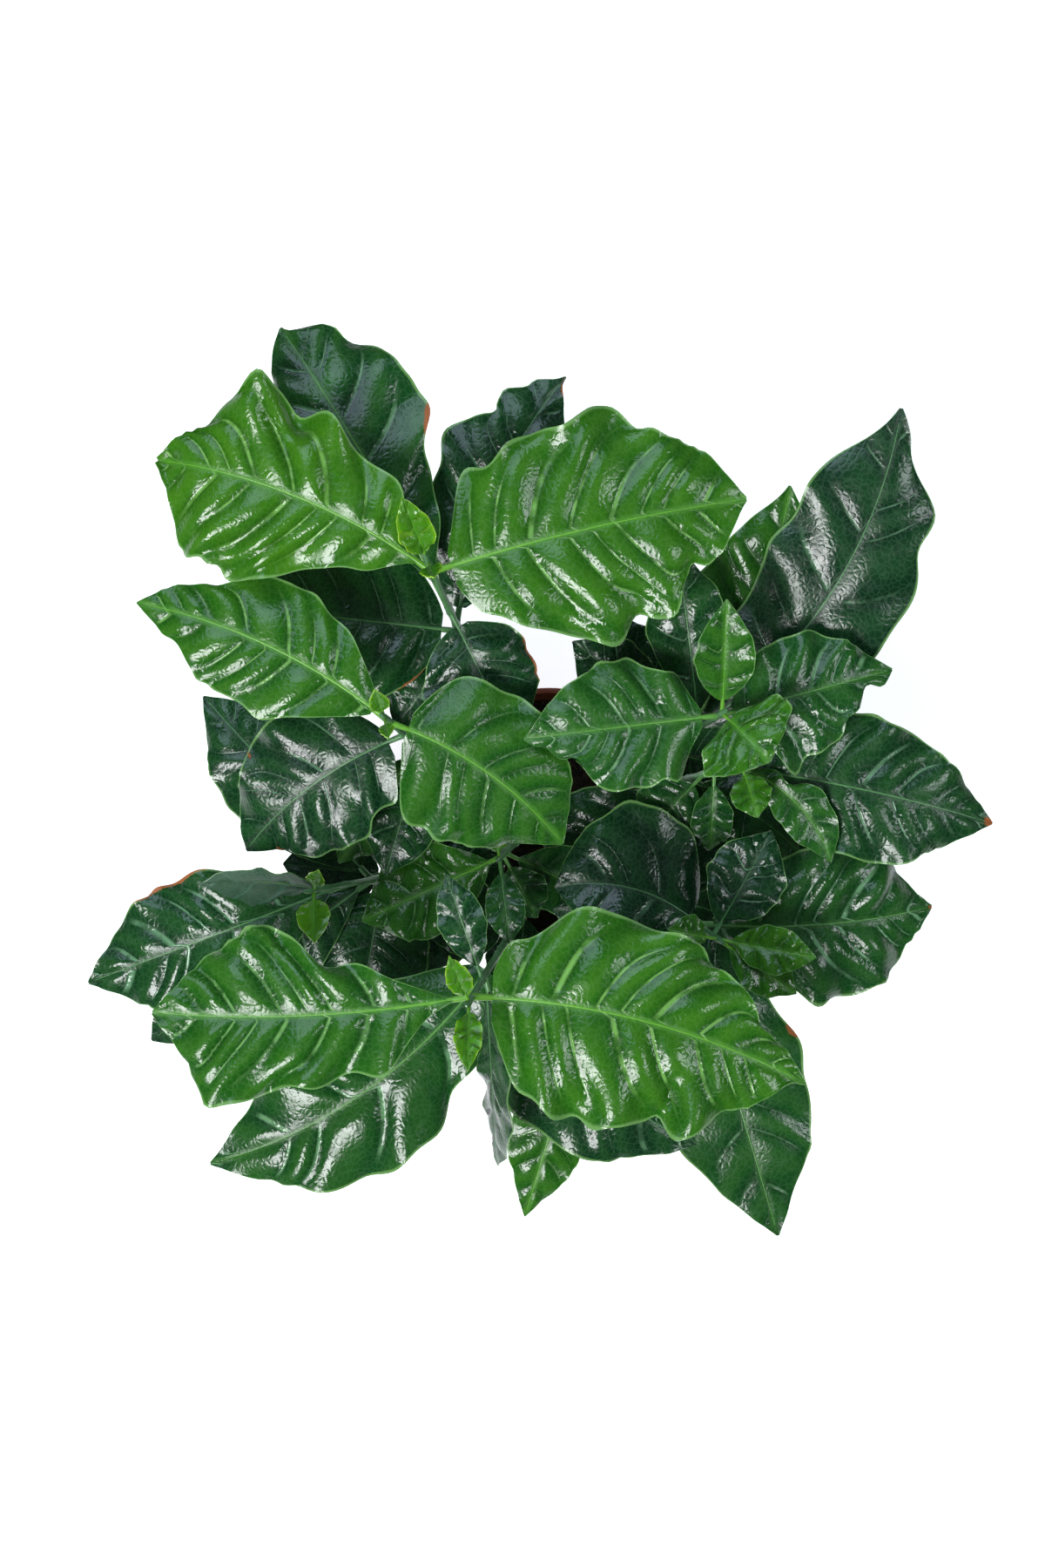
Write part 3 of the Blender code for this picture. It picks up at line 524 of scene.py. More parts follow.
# %% [markdown]
# ## Putting the cuticle together
# Wax is clear, so it needs no colour of its own: the shader's gloss layer is the film, with the
# index of refraction of plant wax. Its roughness goes up and down in soft spots and is higher
# beside the midrib, where dust and water marks stay. The flecks and the net are a relief of less
# than a tenth of a millimetre, which is all that it takes to break up a highlight.

# %% Waxy cuticle of the upper side
SMOOTHEST = 0.15
ROUGHEST = 0.27
FLECK_HEIGHT = 0.065
NET_HEIGHT = 0.05
VEIN_DEPTH = 0.15


def cuticle_roughness(add, coords, from_rib, scorch, dull):
    """Return how rough the wax film is."""
    spots = add("TexNoise", None, {"Vector": coords, "Scale": PER_METRE / GLOSS_SIZE, "Detail": 2.0})
    rough = add(*FADE, (spots, 0.3, 0.7, SMOOTHEST, ROUGHEST))
    rough = add(*TIMES_PLUS, (scorch, 0.4, rough))
    dusty = add(*FADE, (from_rib, 0.5, 3.0, 0.14, 0.0))
    rough = add(*PLUS, (rough, dusty))
    return add(*PLUS, (rough, dull))


def cuticle_height(add, coords, net, vein):
    """Return the film's fine relief in mm: flecks, the net of veins and the side veins."""
    flecks = add("TexNoise", None, {"Vector": coords, "Scale": PER_METRE / FLECK_SIZE, "Detail": 1.0})
    height = add(*TIMES, (flecks, FLECK_HEIGHT))
    cells = add(*FADE, (net, 0.0, 0.3))
    height = add(*TIMES_PLUS, (cells, NET_HEIGHT, height))
    return add(*TIMES_PLUS, (vein, -VEIN_DEPTH, height))


def cuticle_material():
    """Waxy cuticle of the upper side: glossy, quilted, with pale sunken veins."""
    material, add = new_material("waxy_leaf_cuticle", IOR=CUTICLE_IOR)
    coords = add("TexCoord", output="Object")
    passed, from_rib, to_margin = read_leaf(add, "leaf_map")
    quilt, dull, _ = read_leaf(add, "leaf_skin")
    tone, differs, dried = read_leaf(add, "leaf_tone")
    beside = from_vein(add, passed)
    wear_and_glow_noise = add("TexNoise", None, {"Vector": coords, "Scale": PER_METRE / WEAR_AND_GLOW_SIZE, "Detail": 2.0})
    net = add(*CELLS, {"Vector": coords, "Scale": PER_METRE / NET_CELL}, "Distance")
    reach = add(*FADE, (to_margin, 0.55, 0.92, 1.0, 0.0))
    vein = vein_line(add, wear_and_glow_noise, beside, quilt, reach)
    blade = age_colour(add, coords, tone, differs)
    blade = cushion_light_and_shade(add, blade, tone, wear_and_glow_noise, beside, reach)
    blade = vein_colour(add, blade, tone, quilt, net, vein)
    blade = edge_colour(add, blade, tone, beside, from_rib, to_margin)
    scorch = dry_share(add, coords, dried)
    blade = add(*BLEND, {0: scorch, 6: blade, 7: "#8f5226"}, 2)
    rough = cuticle_roughness(add, coords, from_rib, scorch, dull)
    height = cuticle_height(add, coords, net, vein)
    return finish_material(material, blade, height, 1.0, rough)


LEAF_TOP = cuticle_material()
print("nodes in the cuticle:", len(LEAF_TOP.node_tree.nodes))

# %% [markdown]
# ## The underside of a leaf
# The underside has a thinner wax film and holds the pores, so it is paler, greyer and only
# satin. That lack of shine tells the eye which leaves have turned over. Its veins stand out like
# the ribs of an umbrella, because they hold the blade up.

# %% Underside
UNDERSIDE_RELIEF = 0.3


def underside_material():
    """Satin underside of a leaf, with its net of veins standing out."""
    material, add = new_material("satin_leaf_underside", Roughness=0.48, IOR=CUTICLE_IOR)
    coords = add("TexCoord", output="Object")
    tone = read_leaf(add, "leaf_tone")[0]
    green = add(*BLEND, {0: tone, 6: "#183a31", 7: "#6a9a40"}, 2)
    beside = from_vein(add, read_leaf(add, "leaf_map")[0])
    vein = add(*FADE, (beside, 0.2, 0.9, 0.6, 0.0))
    net = add(*CELLS, {"Vector": coords, "Scale": PER_METRE / NET_CELL}, "Distance")
    line = add(*FADE, (net, 0.0, 0.15, 0.25, 0.0))
    mark = add("Math", {"operation": "MAXIMUM"}, (vein, line))
    colour = add(*BLEND, {0: mark, 6: green, 7: "#3f6b57"}, 2)
    height = add(*TIMES, (mark, UNDERSIDE_RELIEF))
    return finish_material(material, colour, height, 0.8)


LEAF_UNDER = underside_material()
print("nodes in the underside:", len(LEAF_UNDER.node_tree.nodes))

# %% [markdown]
# ## Stalks and bark
# The stalks and the midribs are a juicy yellow green with a gentle shine, which draws them as
# light lines on the darker blades. Where a stem meets the soil it has turned to wood: a thin
# grey-brown bark that runs up the green stem in streaks and doesn't shine at all. Streaks and
# cracks are patterns squeezed in height, which makes them long and upright.

# %% Stalk and bark
STREAK_SIZE = 2.0
STREAK_SQUEEZE = (1.0, 1.0, 0.2)
WOOD_FULL = 0.145
WOOD_GONE = 0.185
CRACK_CELL = 1.4
BARK_GRAIN = 1.0
BARK_SQUEEZE = (1.0, 1.0, 0.25)


def stalk_material():
    """Smooth green skin of stalks, midribs and young stems, woody towards the soil."""
    material, add = new_material("green_stalk_skin", Roughness=0.32, IOR=CUTICLE_IOR)
    coords = add("TexCoord", output="Object")
    long_way = add("Mapping", None, {"Vector": coords, "Scale": STREAK_SQUEEZE})
    streaks = add("TexNoise", None, {
        "Vector": long_way, "Scale": PER_METRE / STREAK_SIZE, "Detail": 3.0})
    height = add("SeparateXYZ", None, [coords], "Z")
    wavy = add(*TIMES_PLUS, (streaks, 0.06, height))
    wood = add(*FADE, (wavy, WOOD_FULL, WOOD_GONE, 1.0, 0.0))
    tone = read_leaf(add, "leaf_tone")[0]
    youth = add(*FADE, (tone, 0.0, 0.6))
    old = add(*BLEND, {0: streaks, 6: "#2f6038", 7: "#5f8f5a"}, 2)
    fresh = add(*BLEND, {0: streaks, 6: "#4a8a20", 7: "#6aa530"}, 2)
    green = add(*BLEND, {0: youth, 6: old, 7: fresh}, 2)
    bark = add(*BLEND, {0: streaks, 6: "#4a3a24", 7: "#8a7654"}, 2)
    skin = add(*BLEND, {0: wood, 6: green, 7: bark}, 2)
    furrows = add(*TIMES, (streaks, 0.2))
    return finish_material(material, skin, furrows, 0.6)


def bark_material():
    """Thin cracked bark at the foot of a seedling."""
    material, add = new_material("young_coffee_bark", Roughness=0.82)
    coords = add("TexCoord", output="Object")
    long_way = add("Mapping", None, {"Vector": coords, "Scale": BARK_SQUEEZE})
    cracks = add(*CELLS, {"Vector": long_way, "Scale": PER_METRE / CRACK_CELL}, "Distance")
    grain = add("TexNoise", None, {"Vector": long_way, "Scale": PER_METRE / BARK_GRAIN, "Detail": 5.0})
    wood = add(*BLEND, {0: grain, 6: "#3c2c1c", 7: "#927a58"}, 2)
    dark = add(*FADE, (cracks, 0.0, 0.12, 0.8, 0.0))
    colour = add(*BLEND, {0: dark, 6: wood, 7: "#22170e"}, 2)
    fibres = add(*TIMES, (grain, 0.2))
    plates = add(*FADE, (cracks, 0.0, 0.2))
    height = add(*TIMES_PLUS, (plates, 0.25, fibres))
    return finish_material(material, colour, height)


STALK = stalk_material()
BARK = bark_material()
print("finishes so far:", [made.name for made in (LEAF_TOP, LEAF_UNDER, STALK, BARK)])

# %% [markdown]
# ## The shape of one blade
# A blade hangs on its midrib. The midrib leaves the stem at one pitch and bends to another, and
# the outline is set off to both sides of it. The halves rise a little from the midrib and their
# margins wave. All of this is the form of the solid model, so its values are used here too. Only
# the tip runs on a little further, to a sharper point than a solid needs.

# %% Form of a blade, as in the solid model
PETIOLE_LENGTH = 6.0
FULLNESS = 0.78
TIP_PINCH = 0.6
TIP_PINCH_POWER = 9
MARGIN_START = 0.015
MARGIN_END = 0.996
BEND_POWER = 1.3
CUP_FALL = 0.16
MARGIN_WAVES = 4.0
MARGIN_LAG = 1.3
SPINE_STEPS = 64


def midrib_frame(leaf, base, share):
    """Return places on the midrib in mm, with the sideways and upward directions there."""
    steps = np.linspace(0.0, 1.0, SPINE_STEPS + 1)
    pitch = np.radians(leaf.rise + (leaf.droop - leaf.rise) * steps ** BEND_POWER)
    turn = np.radians(leaf.heading + leaf.sweep * (steps - 0.5))
    ahead = np.stack([np.cos(pitch) * np.cos(turn), np.cos(pitch) * np.sin(turn), np.sin(pitch)], 1)
    strides = (ahead[1:] + ahead[:-1]) / 2.0 * leaf.length / SPINE_STEPS
    places = np.vstack([[0.0, 0.0, 0.0], np.cumsum(strides, 0)]) + base
    place = np.stack([np.interp(share, steps, places[:, axis]) for axis in range(3)], 1)
    forward = np.stack([np.interp(share, steps, ahead[:, axis]) for axis in range(3)], 1)
    forward /= np.linalg.norm(forward, axis=1)[:, None]
    level = np.interp(share, steps, turn)
    side = np.stack([-np.sin(level), np.cos(level), np.zeros_like(level)], 1)
    up = np.cross(forward, side)
    roll = math.radians(leaf.roll)
    return (place, side * math.cos(roll) + up * math.sin(roll),
            up * math.cos(roll) - side * math.sin(roll))


def outline_share(leaf, along):
    """Return the width of the outline along the blade, as a share of the widest."""
    bulge = np.clip(along, 0.0, 1.0) ** (math.log(0.5) / math.log(leaf.widest))
    pinch = 1.0 - TIP_PINCH * along ** TIP_PINCH_POWER
    return np.clip(np.sin(math.pi * bulge), 0.0, 1.0) ** FULLNESS * pinch


first_outline = outline_share(SEEDLINGS[0].grown[0], np.linspace(0.0, 1.0, 6))
print("outline of the first leaf:", np.round(first_outline, 2))

# %% [markdown]
# ## Quilting, veins and ripples
# The finer shape comes on top. Side veins leave the midrib every centimetre or two and run
# forward to the margin. The blade is sunk along them and swells into cushions between them,
# and the margin swings up and down with the cushions.
#
# One number steers all of this: how many side veins lie behind a point. Its whole values are
# the veins and its halves the tops of the cushions. Slow waves shift it, because real veins
# never stand evenly, and the cuticle draws its pale lines by the same number.

# %% Quilting, veins and ripples
VEIN_PITCH = 22.0
VEINS_BEFORE = 3.0
VEIN_MOST = 9
OWN_VEINS = {
    "front 5": 6, "front 6": 7, "right 3": 7, "front_left 1": 7, "front_right 6": 7, "back_left 3": 7,
    "front_right 2": 5, "middle young 1": 5}
SIDE_OFFSET = 0.35
RIB_CHANNEL = 0.15
CHANNEL_WIDTH = 1.3
RIPPLE = 1.1
QUILT_HEIGHT = 1.9
QUILT_UNEVEN = 0.35
QUILT_LEVEL = 0.55
EDGE_SWING = 0.25
MARGIN_SWING = 0.012
LOBE = 0.03
LAG_BASE = 0.15
LAG_GAIN = 0.75
LAG_CURVE = 0.4


def smooth(start, end, value):
    """Return a smooth step from 0 to 1 between start and end."""
    share = np.clip((value - start) / (end - start), 0.0, 1.0)
    return share * share * (3.0 - 2.0 * share)


def vein_count(leaf, name):
    """Return how many side veins a half blade has."""
    return OWN_VEINS.get(name, min(VEIN_MOST, round(VEINS_BEFORE + leaf.length / VEIN_PITCH)))


def veins_passed(leaf, name, along, across, half):
    """Return how many side veins lie behind a point. They run forward as they near the margin."""
    lag = np.abs(across) * half / leaf.length * (LAG_BASE + LAG_GAIN * along)
    lag *= 1.0 + LAG_CURVE * across ** 2
    origin = along - lag
    own = 0.37 * leaf.heading + np.where(across > 0.0, 0.0, 2.2)
    uneven = 0.20 * np.sin(2.0 * math.pi * 1.9 * origin + own)
    uneven += 0.13 * np.sin(2.0 * math.pi * 3.7 * origin + 2.0 * own)
    shift = (SIDE_OFFSET * np.sign(across) + uneven) * np.clip(np.abs(across) * half / 1.5, 0.0, 1.0)
    return vein_count(leaf, name) * origin + shift + 2.0


def ripples(draw, along, across):
    """Return slow bends that make every blade a little different."""
    total = np.zeros_like(along)
    for waves in (1.0, 1.7, 2.6):
        angle = draw.uniform(0.0, 2.0 * math.pi)
        lean = draw.uniform(-1.5, 1.5)
        total += np.sin(2.0 * math.pi * waves * along + lean * across * math.pi + angle) / waves
    return total


def rib_sink(leaf, along):
    """Return how deep the midrib's channel is."""
    return RIB_CHANNEL * min(1.0, leaf.width / 40.0) * (1.0 - 0.5 * along)


def around(value, centre, spread):
    """Return a bell that is 1 at the centre and fades out over the spread."""
    return np.exp(-((value - centre) / spread) ** 2)


def blade_height(leaf, name, along, across, half, draw):
    """Return the height of the blade's surface over its plain middle plane."""
    size = np.clip(outline_share(leaf, along), 0.0, 1.0)
    reach = np.abs(across)
    cup = half * (leaf.cup * reach - CUP_FALL * across ** 2)
    phase = 2.0 * math.pi * MARGIN_WAVES * along + np.where(across > 0.0, 0.0, MARGIN_LAG)
    wave = leaf.wave * across ** 2 * np.cos(phase) * np.sqrt(size)
    passed = veins_passed(leaf, name, along, across, half)
    between = passed % 1.0
    own = 0.37 * leaf.heading + np.where(across > 0.0, 0.0, 1.9)
    fuller = 1.0 + QUILT_UNEVEN * np.sin(1.7 * passed + own)
    cushion = fuller * (np.sin(math.pi * between ** 0.85) ** 0.8 - QUILT_LEVEL)
    share = smooth(0.0, 0.28, reach) * (1.0 - 0.7 * smooth(0.5, 1.0, reach)) * np.sqrt(size)
    edge = np.cos(2.0 * math.pi * (between - 0.5)) * smooth(0.55, 1.0, reach) * np.sqrt(size)
    channel = rib_sink(leaf, along) * np.exp(-(reach * half / CHANNEL_WIDTH) ** 2)
    bend = RIPPLE * min(1.0, leaf.width / 60.0) * ripples(draw, along, across) * reach * np.sqrt(size)
    fold = sum(one.lift * around(along, one.place, one.length) * around(across, one.across, one.width)
               for one in FOLDS.get(name, ()))
    quilting = QUILT_HEIGHT * leaf.quilt * (cushion * share + EDGE_SWING * edge)
    return cup + wave + quilting - channel + bend + fold


def blade_points(leaf, name, base, along, across, draw):
    """Return points of the blade's upper surface, and the leaf_map values there."""
    half = leaf.width / 2.0 * outline_share(leaf, along)
    passed = veins_passed(leaf, name, along, across, half)
    swing = np.cos(2.0 * math.pi * (passed - 0.5)) * smooth(0.5, 1.0, np.abs(across))
    swell = 1.0 + MARGIN_SWING * leaf.quilt * swing
    own = 0.61 * leaf.heading + np.where(across > 0.0, 0.0, 2.4)
    swell += LOBE * np.sin(2.0 * math.pi * 3.3 * along + own) * across ** 2
    swell += 0.6 * LOBE * np.sin(2.0 * math.pi * 5.9 * along + 2.0 * own) * across ** 2
    start = PETIOLE_LENGTH / leaf.length
    place, side, up = midrib_frame(leaf, base, start + (1.0 - start) * along)
    height = blade_height(leaf, name, along, across, half, draw)
    reach = half * across * swell
    for one in BULGES.get(name, ()):
        on_side = np.clip(one.side * across, 0.0, 1.0) ** 2
        reach += one.side * one.reach * around(along, one.place, one.spread) * on_side
    points = place + side * reach[:, None] + up * height[:, None]
    return points, np.stack([passed, np.abs(across) * half, np.abs(across)], 1)


print("side veins on the first leaf:", vein_count(SEEDLINGS[0].grown[0], "back_left 1"))

# %% [markdown]
# ## Modelling the blades
# A grid is the natural start for a blade: its rows run along the leaf and its columns across.
# Each point is moved to its place on the curved surface. The columns stand closer near the
# midrib, where the shape changes fastest. Solidify then gives the sheet its half millimetre,
# and puts the underside's finish on the lower face.

# %% Make a blade
BLADE_THICKNESS = 0.5
ROW_SPACING = 2.0
COLUMN_SPACING = 2.0
RIB_CROWDING = 1.35


def store(obj, name, values):
    """Keep three values under this name, for each point of an object or the same for all."""
    kept = obj.data.attributes.new(name, "FLOAT_VECTOR", "POINT")
    kept.data.foreach_set("vector", np.resize(values, (len(obj.data.vertices), 3)).ravel())


def make_blade(leaf, name, base, seed):
    """Shape a grid into one blade with its two finishes."""
    draw = np.random.default_rng(seed)
    rows = int(np.clip(leaf.length / ROW_SPACING, 30, 66))
    columns = 2 * int(np.clip(leaf.width / COLUMN_SPACING / 2.0, 6, 19))
    bpy.ops.object.select_all(action="DESELECT")
    bpy.ops.mesh.primitive_grid_add(x_subdivisions=rows, y_subdivisions=columns, size=2.0)
    blade = bpy.context.object
    count = len(blade.data.vertices)
    flat = np.empty(count * 3)
    blade.data.vertices.foreach_get("co", flat)
    flat = flat.reshape(-1, 3)
    along = MARGIN_START + (MARGIN_END - MARGIN_START) * (flat[:, 0] + 1.0) / 2.0
    across = np.sign(flat[:, 1]) * np.abs(flat[:, 1]) ** RIB_CROWDING
    points, mapped = blade_points(leaf, name, base, along, across, draw)
    blade.data.vertices.foreach_set("co", (points * MM).ravel())
    dried = sum((one.strength * around(along, one.place, one.length) * around(across, one.across, one.width)
                 for one in SCORCHES.get(name, ())), np.zeros(count))
    differs = draw.uniform(-0.05, 0.05)
    store(blade, "leaf_map", mapped)
    store(blade, "leaf_tone", np.stack([np.full(count, leaf.tone), np.full(count, differs), dried], 1))
    store(blade, "leaf_skin", (leaf.quilt, DULLNESS.get(name, 0.0), 0.0))
    give_material(blade, LEAF_TOP, LEAF_UNDER)
    solid = blade.modifiers.new("thickness", "SOLIDIFY")
    solid.thickness = BLADE_THICKNESS * MM
    solid.offset = -1.0
    solid.material_offset = 1
    bpy.ops.object.modifier_apply(modifier=solid.name)
    return blade


print("a row every", ROW_SPACING, "mm along a blade")

# %% [markdown]
# ## Stems, stalks and midribs
# A stem is a round rod that thins towards its tip, with a slight knuckle at each pair of leaves.
# A leaf's short stalk runs on under the blade as its midrib and thins out at the tip. Both are
# drawn as curves with a round section whose radius changes from point to point, which is how a
# plant grows them, and are then turned into meshes.

# %% Stems and stalks
SOIL_TOP = 92.0
ROOT_DEPTH = 16.0
TRUNK_RADIUS = 2.5
TRUNK_TOP = 120.0
TIP_RADIUS = 1.1
TIP_DROP = 4.0
STEM_LEAN = 1.25
KNUCKLE = 0.35
KNUCKLE_LENGTH = 2.2
RIB_RADIUS = 0.9
RIB_LEAST = 0.18
RIB_BASE = 0.6
RIB_PROUD = 0.25


def stem_point(seedling, height):
    """Return the stem's axis at a height."""
    foot = np.array(seedling.foot, float)
    top = np.array(seedling.top[:2], float)
    share = max(0.0, (height - SOIL_TOP) / (seedling.top[2] - SOIL_TOP))
    place = foot + (top - foot) * share ** STEM_LEAN
    return np.array([place[0], place[1], height])


def stem_radius(seedling, height):
    """Return the stem's radius, with a knuckle at each leaf."""
    share = min(1.0, max(0.0, (height - SOIL_TOP) / (seedling.top[2] - SOIL_TOP)))
    radius = TRUNK_RADIUS + (TIP_RADIUS - TRUNK_RADIUS) * share
    near = min(abs(height - leaf.z) for leaf in seedling.grown + seedling.young)
    return radius * (1.0 + KNUCKLE * math.exp(-(near / KNUCKLE_LENGTH) ** 2))


def make_tubes(name, runs, material, resolution=2):
    """Sweep round sections along runs of (points, radii) and turn them into one closed mesh."""
    curve = bpy.data.curves.new(name, "CURVE")
    curve.dimensions = "3D"
    curve.bevel_depth = MM
    curve.bevel_resolution = resolution
    curve.use_fill_caps = True
    for points, radii in runs:
        spline = curve.splines.new("POLY")
        spline.points.add(len(points) - 1)
        for spot, place, radius in zip(spline.points, points, radii):
            spot.co = (*(Vector(place) * MM), 1.0)
            spot.radius = radius
    tubes = bpy.data.objects.new(name, curve)
    bpy.context.scene.collection.objects.link(tubes)
    select_only(tubes)
    bpy.ops.object.convert(target="MESH")
    tubes = bpy.context.object
    bpy.ops.object.mode_set(mode="EDIT")
    bpy.ops.mesh.select_all(action="SELECT")
    bpy.ops.mesh.remove_doubles(threshold=0.00001)
    bpy.ops.mesh.normals_make_consistent(inside=False)
    bpy.ops.object.mode_set(mode="OBJECT")
    give_material(tubes, material)
    return tubes


def rib_run(leaf, name, base, seed):
    """Return the run of a leaf's stalk and midrib."""
    draw = np.random.default_rng(seed)
    along = np.linspace(MARGIN_START, 0.96, max(10, int(leaf.length / 3.0)))
    points, _ = blade_points(leaf, name, base, along, np.zeros_like(along), draw)
    start = PETIOLE_LENGTH / leaf.length
    _, _, up = midrib_frame(leaf, base, start + (1.0 - start) * along)
    size = min(1.0, 0.35 + 0.65 * leaf.length / 110.0)
    thinning = (1.0 - along) ** 0.8 * (1.0 + RIB_BASE * (1.0 - along) ** 5)
    radii = size * (RIB_LEAST + (RIB_RADIUS - RIB_LEAST) * thinning)
    points = points + up * ((RIB_PROUD - 1.0) * radii)[:, None]
    stalk, _, _ = midrib_frame(leaf, base, np.array([0.0, start * 0.5]))
    return np.vstack([stalk, points]), np.concatenate([[radii[0] * 1.25, radii[0] * 1.1], radii])


print("stem of the first seedling at the soil:", stem_point(SEEDLINGS[0], SOIL_TOP))

# %% [markdown]
# ## Growing the seedlings
# A seedling is three pieces, as in the solid model: the woody foot in the soil, the green stem
# with its grown leaves, and the soft tip with its bud and youngest pair. Each leaf is made where
# it belongs, from its row of the table, and a number of its own decides its chance bends. Then
# the parts of a piece are joined, and the piece takes the place of its solid.

# %% Grow the seedlings
PLANT_SMOOTHING = 50.0


def make_leaves(seedling, leaves, number, group):
    """Return the blades and stalks of one group of leaves."""
    blades = []
    for index, leaf in enumerate(leaves, start=1):
        base = stem_point(seedling, leaf.z)
        seed = 1000 * number + 100 * group + index
        name = f"{seedling.name} {'young ' if group == 2 else ''}{index}"
        blades.append(make_blade(leaf, name, base, seed))
        stalk = make_tubes("stalk", [rib_run(leaf, name, base, seed)], STALK)
        store(stalk, "leaf_tone", (leaf.tone, 0.0, 0.0))
        blades.append(stalk)
    return blades


def stem_run(seedling, bottom, top, spacing=2.5):
    """Return the run of a stem between two heights."""
    heights = np.linspace(bottom, top, max(4, int((top - bottom) / spacing)))
    points = [stem_point(seedling, height) for height in heights]
    return points, [stem_radius(seedling, height) for height in heights]


def join_piece(name, parts, node):
    """Join parts into one named piece that stands for a solid."""
    select_only(*parts)
    bpy.ops.object.join()
    piece = bpy.context.object
    piece.name = name
    piece.data.name = name
    bpy.ops.object.shade_smooth_by_angle(angle=math.radians(PLANT_SMOOTHING))
    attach(piece, "root")
    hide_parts(node)
    return piece


faces = 0
for number, seedling in enumerate(SEEDLINGS, start=1):
    split = seedling.top[2] - TIP_DROP
    blades = make_leaves(seedling, seedling.grown, number, 1)
    stem = make_tubes("stem", [stem_run(seedling, TRUNK_TOP, split)], STALK)
    grown = join_piece("leaves_" + seedling.name, [*blades, stem], f"leafy_stem_{number}")
    blades = make_leaves(seedling, seedling.young, number, 2)
    points, radii = stem_run(seedling, split, seedling.top[2] + 5.0, 1.0)
    radii[-2:] = [radii[-1] * 0.8, radii[-1] * 0.35]
    bud = make_tubes("bud", [(points, radii)], STALK)
    young = join_piece("tip_" + seedling.name, [*blades, bud], f"young_tip_{number}")
    points, radii = stem_run(seedling, SOIL_TOP - ROOT_DEPTH, TRUNK_TOP)
    foot = make_tubes("foot", [(points, radii)], BARK, 3)
    foot = join_piece("foot_" + seedling.name, [foot], f"trunk_{number}")
    faces += sum(len(piece.data.polygons) for piece in (grown, young, foot))
print("faces in all seedlings:", faces)

# %% [markdown]
# ## The pot
# A nursery pot is moulded from thin plastic in one shot: a tapered wall, a floor with drain
# holes, and a stiff collar under the rim. A disc is pulled up ring by ring, outside and then
# back down inside, so the wall is closed all round.
#
# What tells this plastic from fired clay is an even colour and a soft, broad shine. The mould
# leaves a fine grain, which is drawn several times too coarse here so that it shows.

# %% Sizes and finish of the pot
POT_HEIGHT = 110.0
POT_RIM_RADIUS = 60.0
POT_BASE_RADIUS = 42.0
POT_WALL = 1.6
POT_FLOOR = 2.0
RIM_WIDTH = 2.6
COLLAR_DEPTH = 13.0
COLLAR_STEP = 2.4
RIM_ROUND = 0.6
DRAIN_COUNT = 6
DRAIN_RADIUS = 3.5
DRAIN_CIRCLE = 27.0
POT_SIDES = 96
POT_SMOOTHING = 35.0
GRAIN_SIZE = 0.8
GRAIN_HEIGHT = 0.12
CLOUD_SIZE = 30.0


def plastic_material():
    """Moulded polypropylene in terracotta colour: dull, with a fine moulded grain."""
    material, add = new_material("moulded_terracotta_plastic", Roughness=0.46, IOR=1.49)
    coords = add("TexCoord", output="Object")
    cloud = add("TexNoise", None, {"Vector": coords, "Scale": PER_METRE / CLOUD_SIZE, "Detail": 4.0})
    share = add(*FADE, (cloud, 0.3, 0.7))
    colour = add(*BLEND, {0: share, 6: "#8f4230", 7: "#a65440"}, 2)
    grain = add("TexNoise", None, {"Vector": coords, "Scale": PER_METRE / GRAIN_SIZE, "Detail": 3.0})
    height = add(*TIMES, (grain, GRAIN_HEIGHT))
    return finish_material(material, colour, height, 0.5)


def inner_radius(height):
    """Return the radius of the pot's inner wall at a height below the collar."""
    wall_top = POT_HEIGHT - COLLAR_DEPTH
    return POT_BASE_RADIUS + (POT_RIM_RADIUS - COLLAR_STEP - POT_BASE_RADIUS) * height / wall_top - POT_WALL


def pull_ring(radius, height, past):
    """Extrude the selected disc to a new height and size it to a new radius."""
    rise = (height - past[1]) * MM
    bpy.ops.mesh.extrude_region_move(TRANSFORM_OT_translate={"value": (0.0, 0.0, rise)})
    bpy.ops.transform.resize(value=(radius / past[0], radius / past[0], 1.0), center_override=(0, 0, 0))
    return radius, height


print("pot:", POT_HEIGHT, "mm high,", 2.0 * POT_RIM_RADIUS, "mm wide")

# %% Pull up the pot's wall
wall_top = POT_HEIGHT - COLLAR_DEPTH
rim_inner = POT_RIM_RADIUS - RIM_WIDTH
profile = [
    (POT_BASE_RADIUS, 0.5),
    (POT_RIM_RADIUS - COLLAR_STEP, wall_top - RIM_ROUND),
    (POT_RIM_RADIUS - 0.3, wall_top - 0.2),
    (POT_RIM_RADIUS, wall_top + 0.3),
    (POT_RIM_RADIUS, POT_HEIGHT - RIM_ROUND),
    (POT_RIM_RADIUS - 0.2, POT_HEIGHT - 0.2),
    (POT_RIM_RADIUS - RIM_ROUND, POT_HEIGHT),
    (rim_inner + RIM_ROUND, POT_HEIGHT),
    (rim_inner + 0.2, POT_HEIGHT - 0.2),
    (rim_inner, POT_HEIGHT - RIM_ROUND),
    (rim_inner, wall_top + COLLAR_STEP),
    (inner_radius(wall_top - COLLAR_STEP), wall_top - COLLAR_STEP),
    (inner_radius(POT_FLOOR), POT_FLOOR),
]
bpy.ops.object.select_all(action="DESELECT")
bpy.ops.mesh.primitive_circle_add(
    vertices=POT_SIDES, radius=(POT_BASE_RADIUS - 0.5) * MM, fill_type="NGON", location=(0, 0, 0))
pot = bpy.context.object
pot.name = "pot_shell"
bpy.ops.object.mode_set(mode="EDIT")
bpy.ops.mesh.select_all(action="SELECT")
past = (POT_BASE_RADIUS - 0.5, 0.0)
for radius, height in profile:
    past = pull_ring(radius, height, past)
bpy.ops.mesh.select_all(action="SELECT")
bpy.ops.mesh.normals_make_consistent(inside=False)
bpy.ops.object.mode_set(mode="OBJECT")
print("rings in the pot's wall:", len(profile))

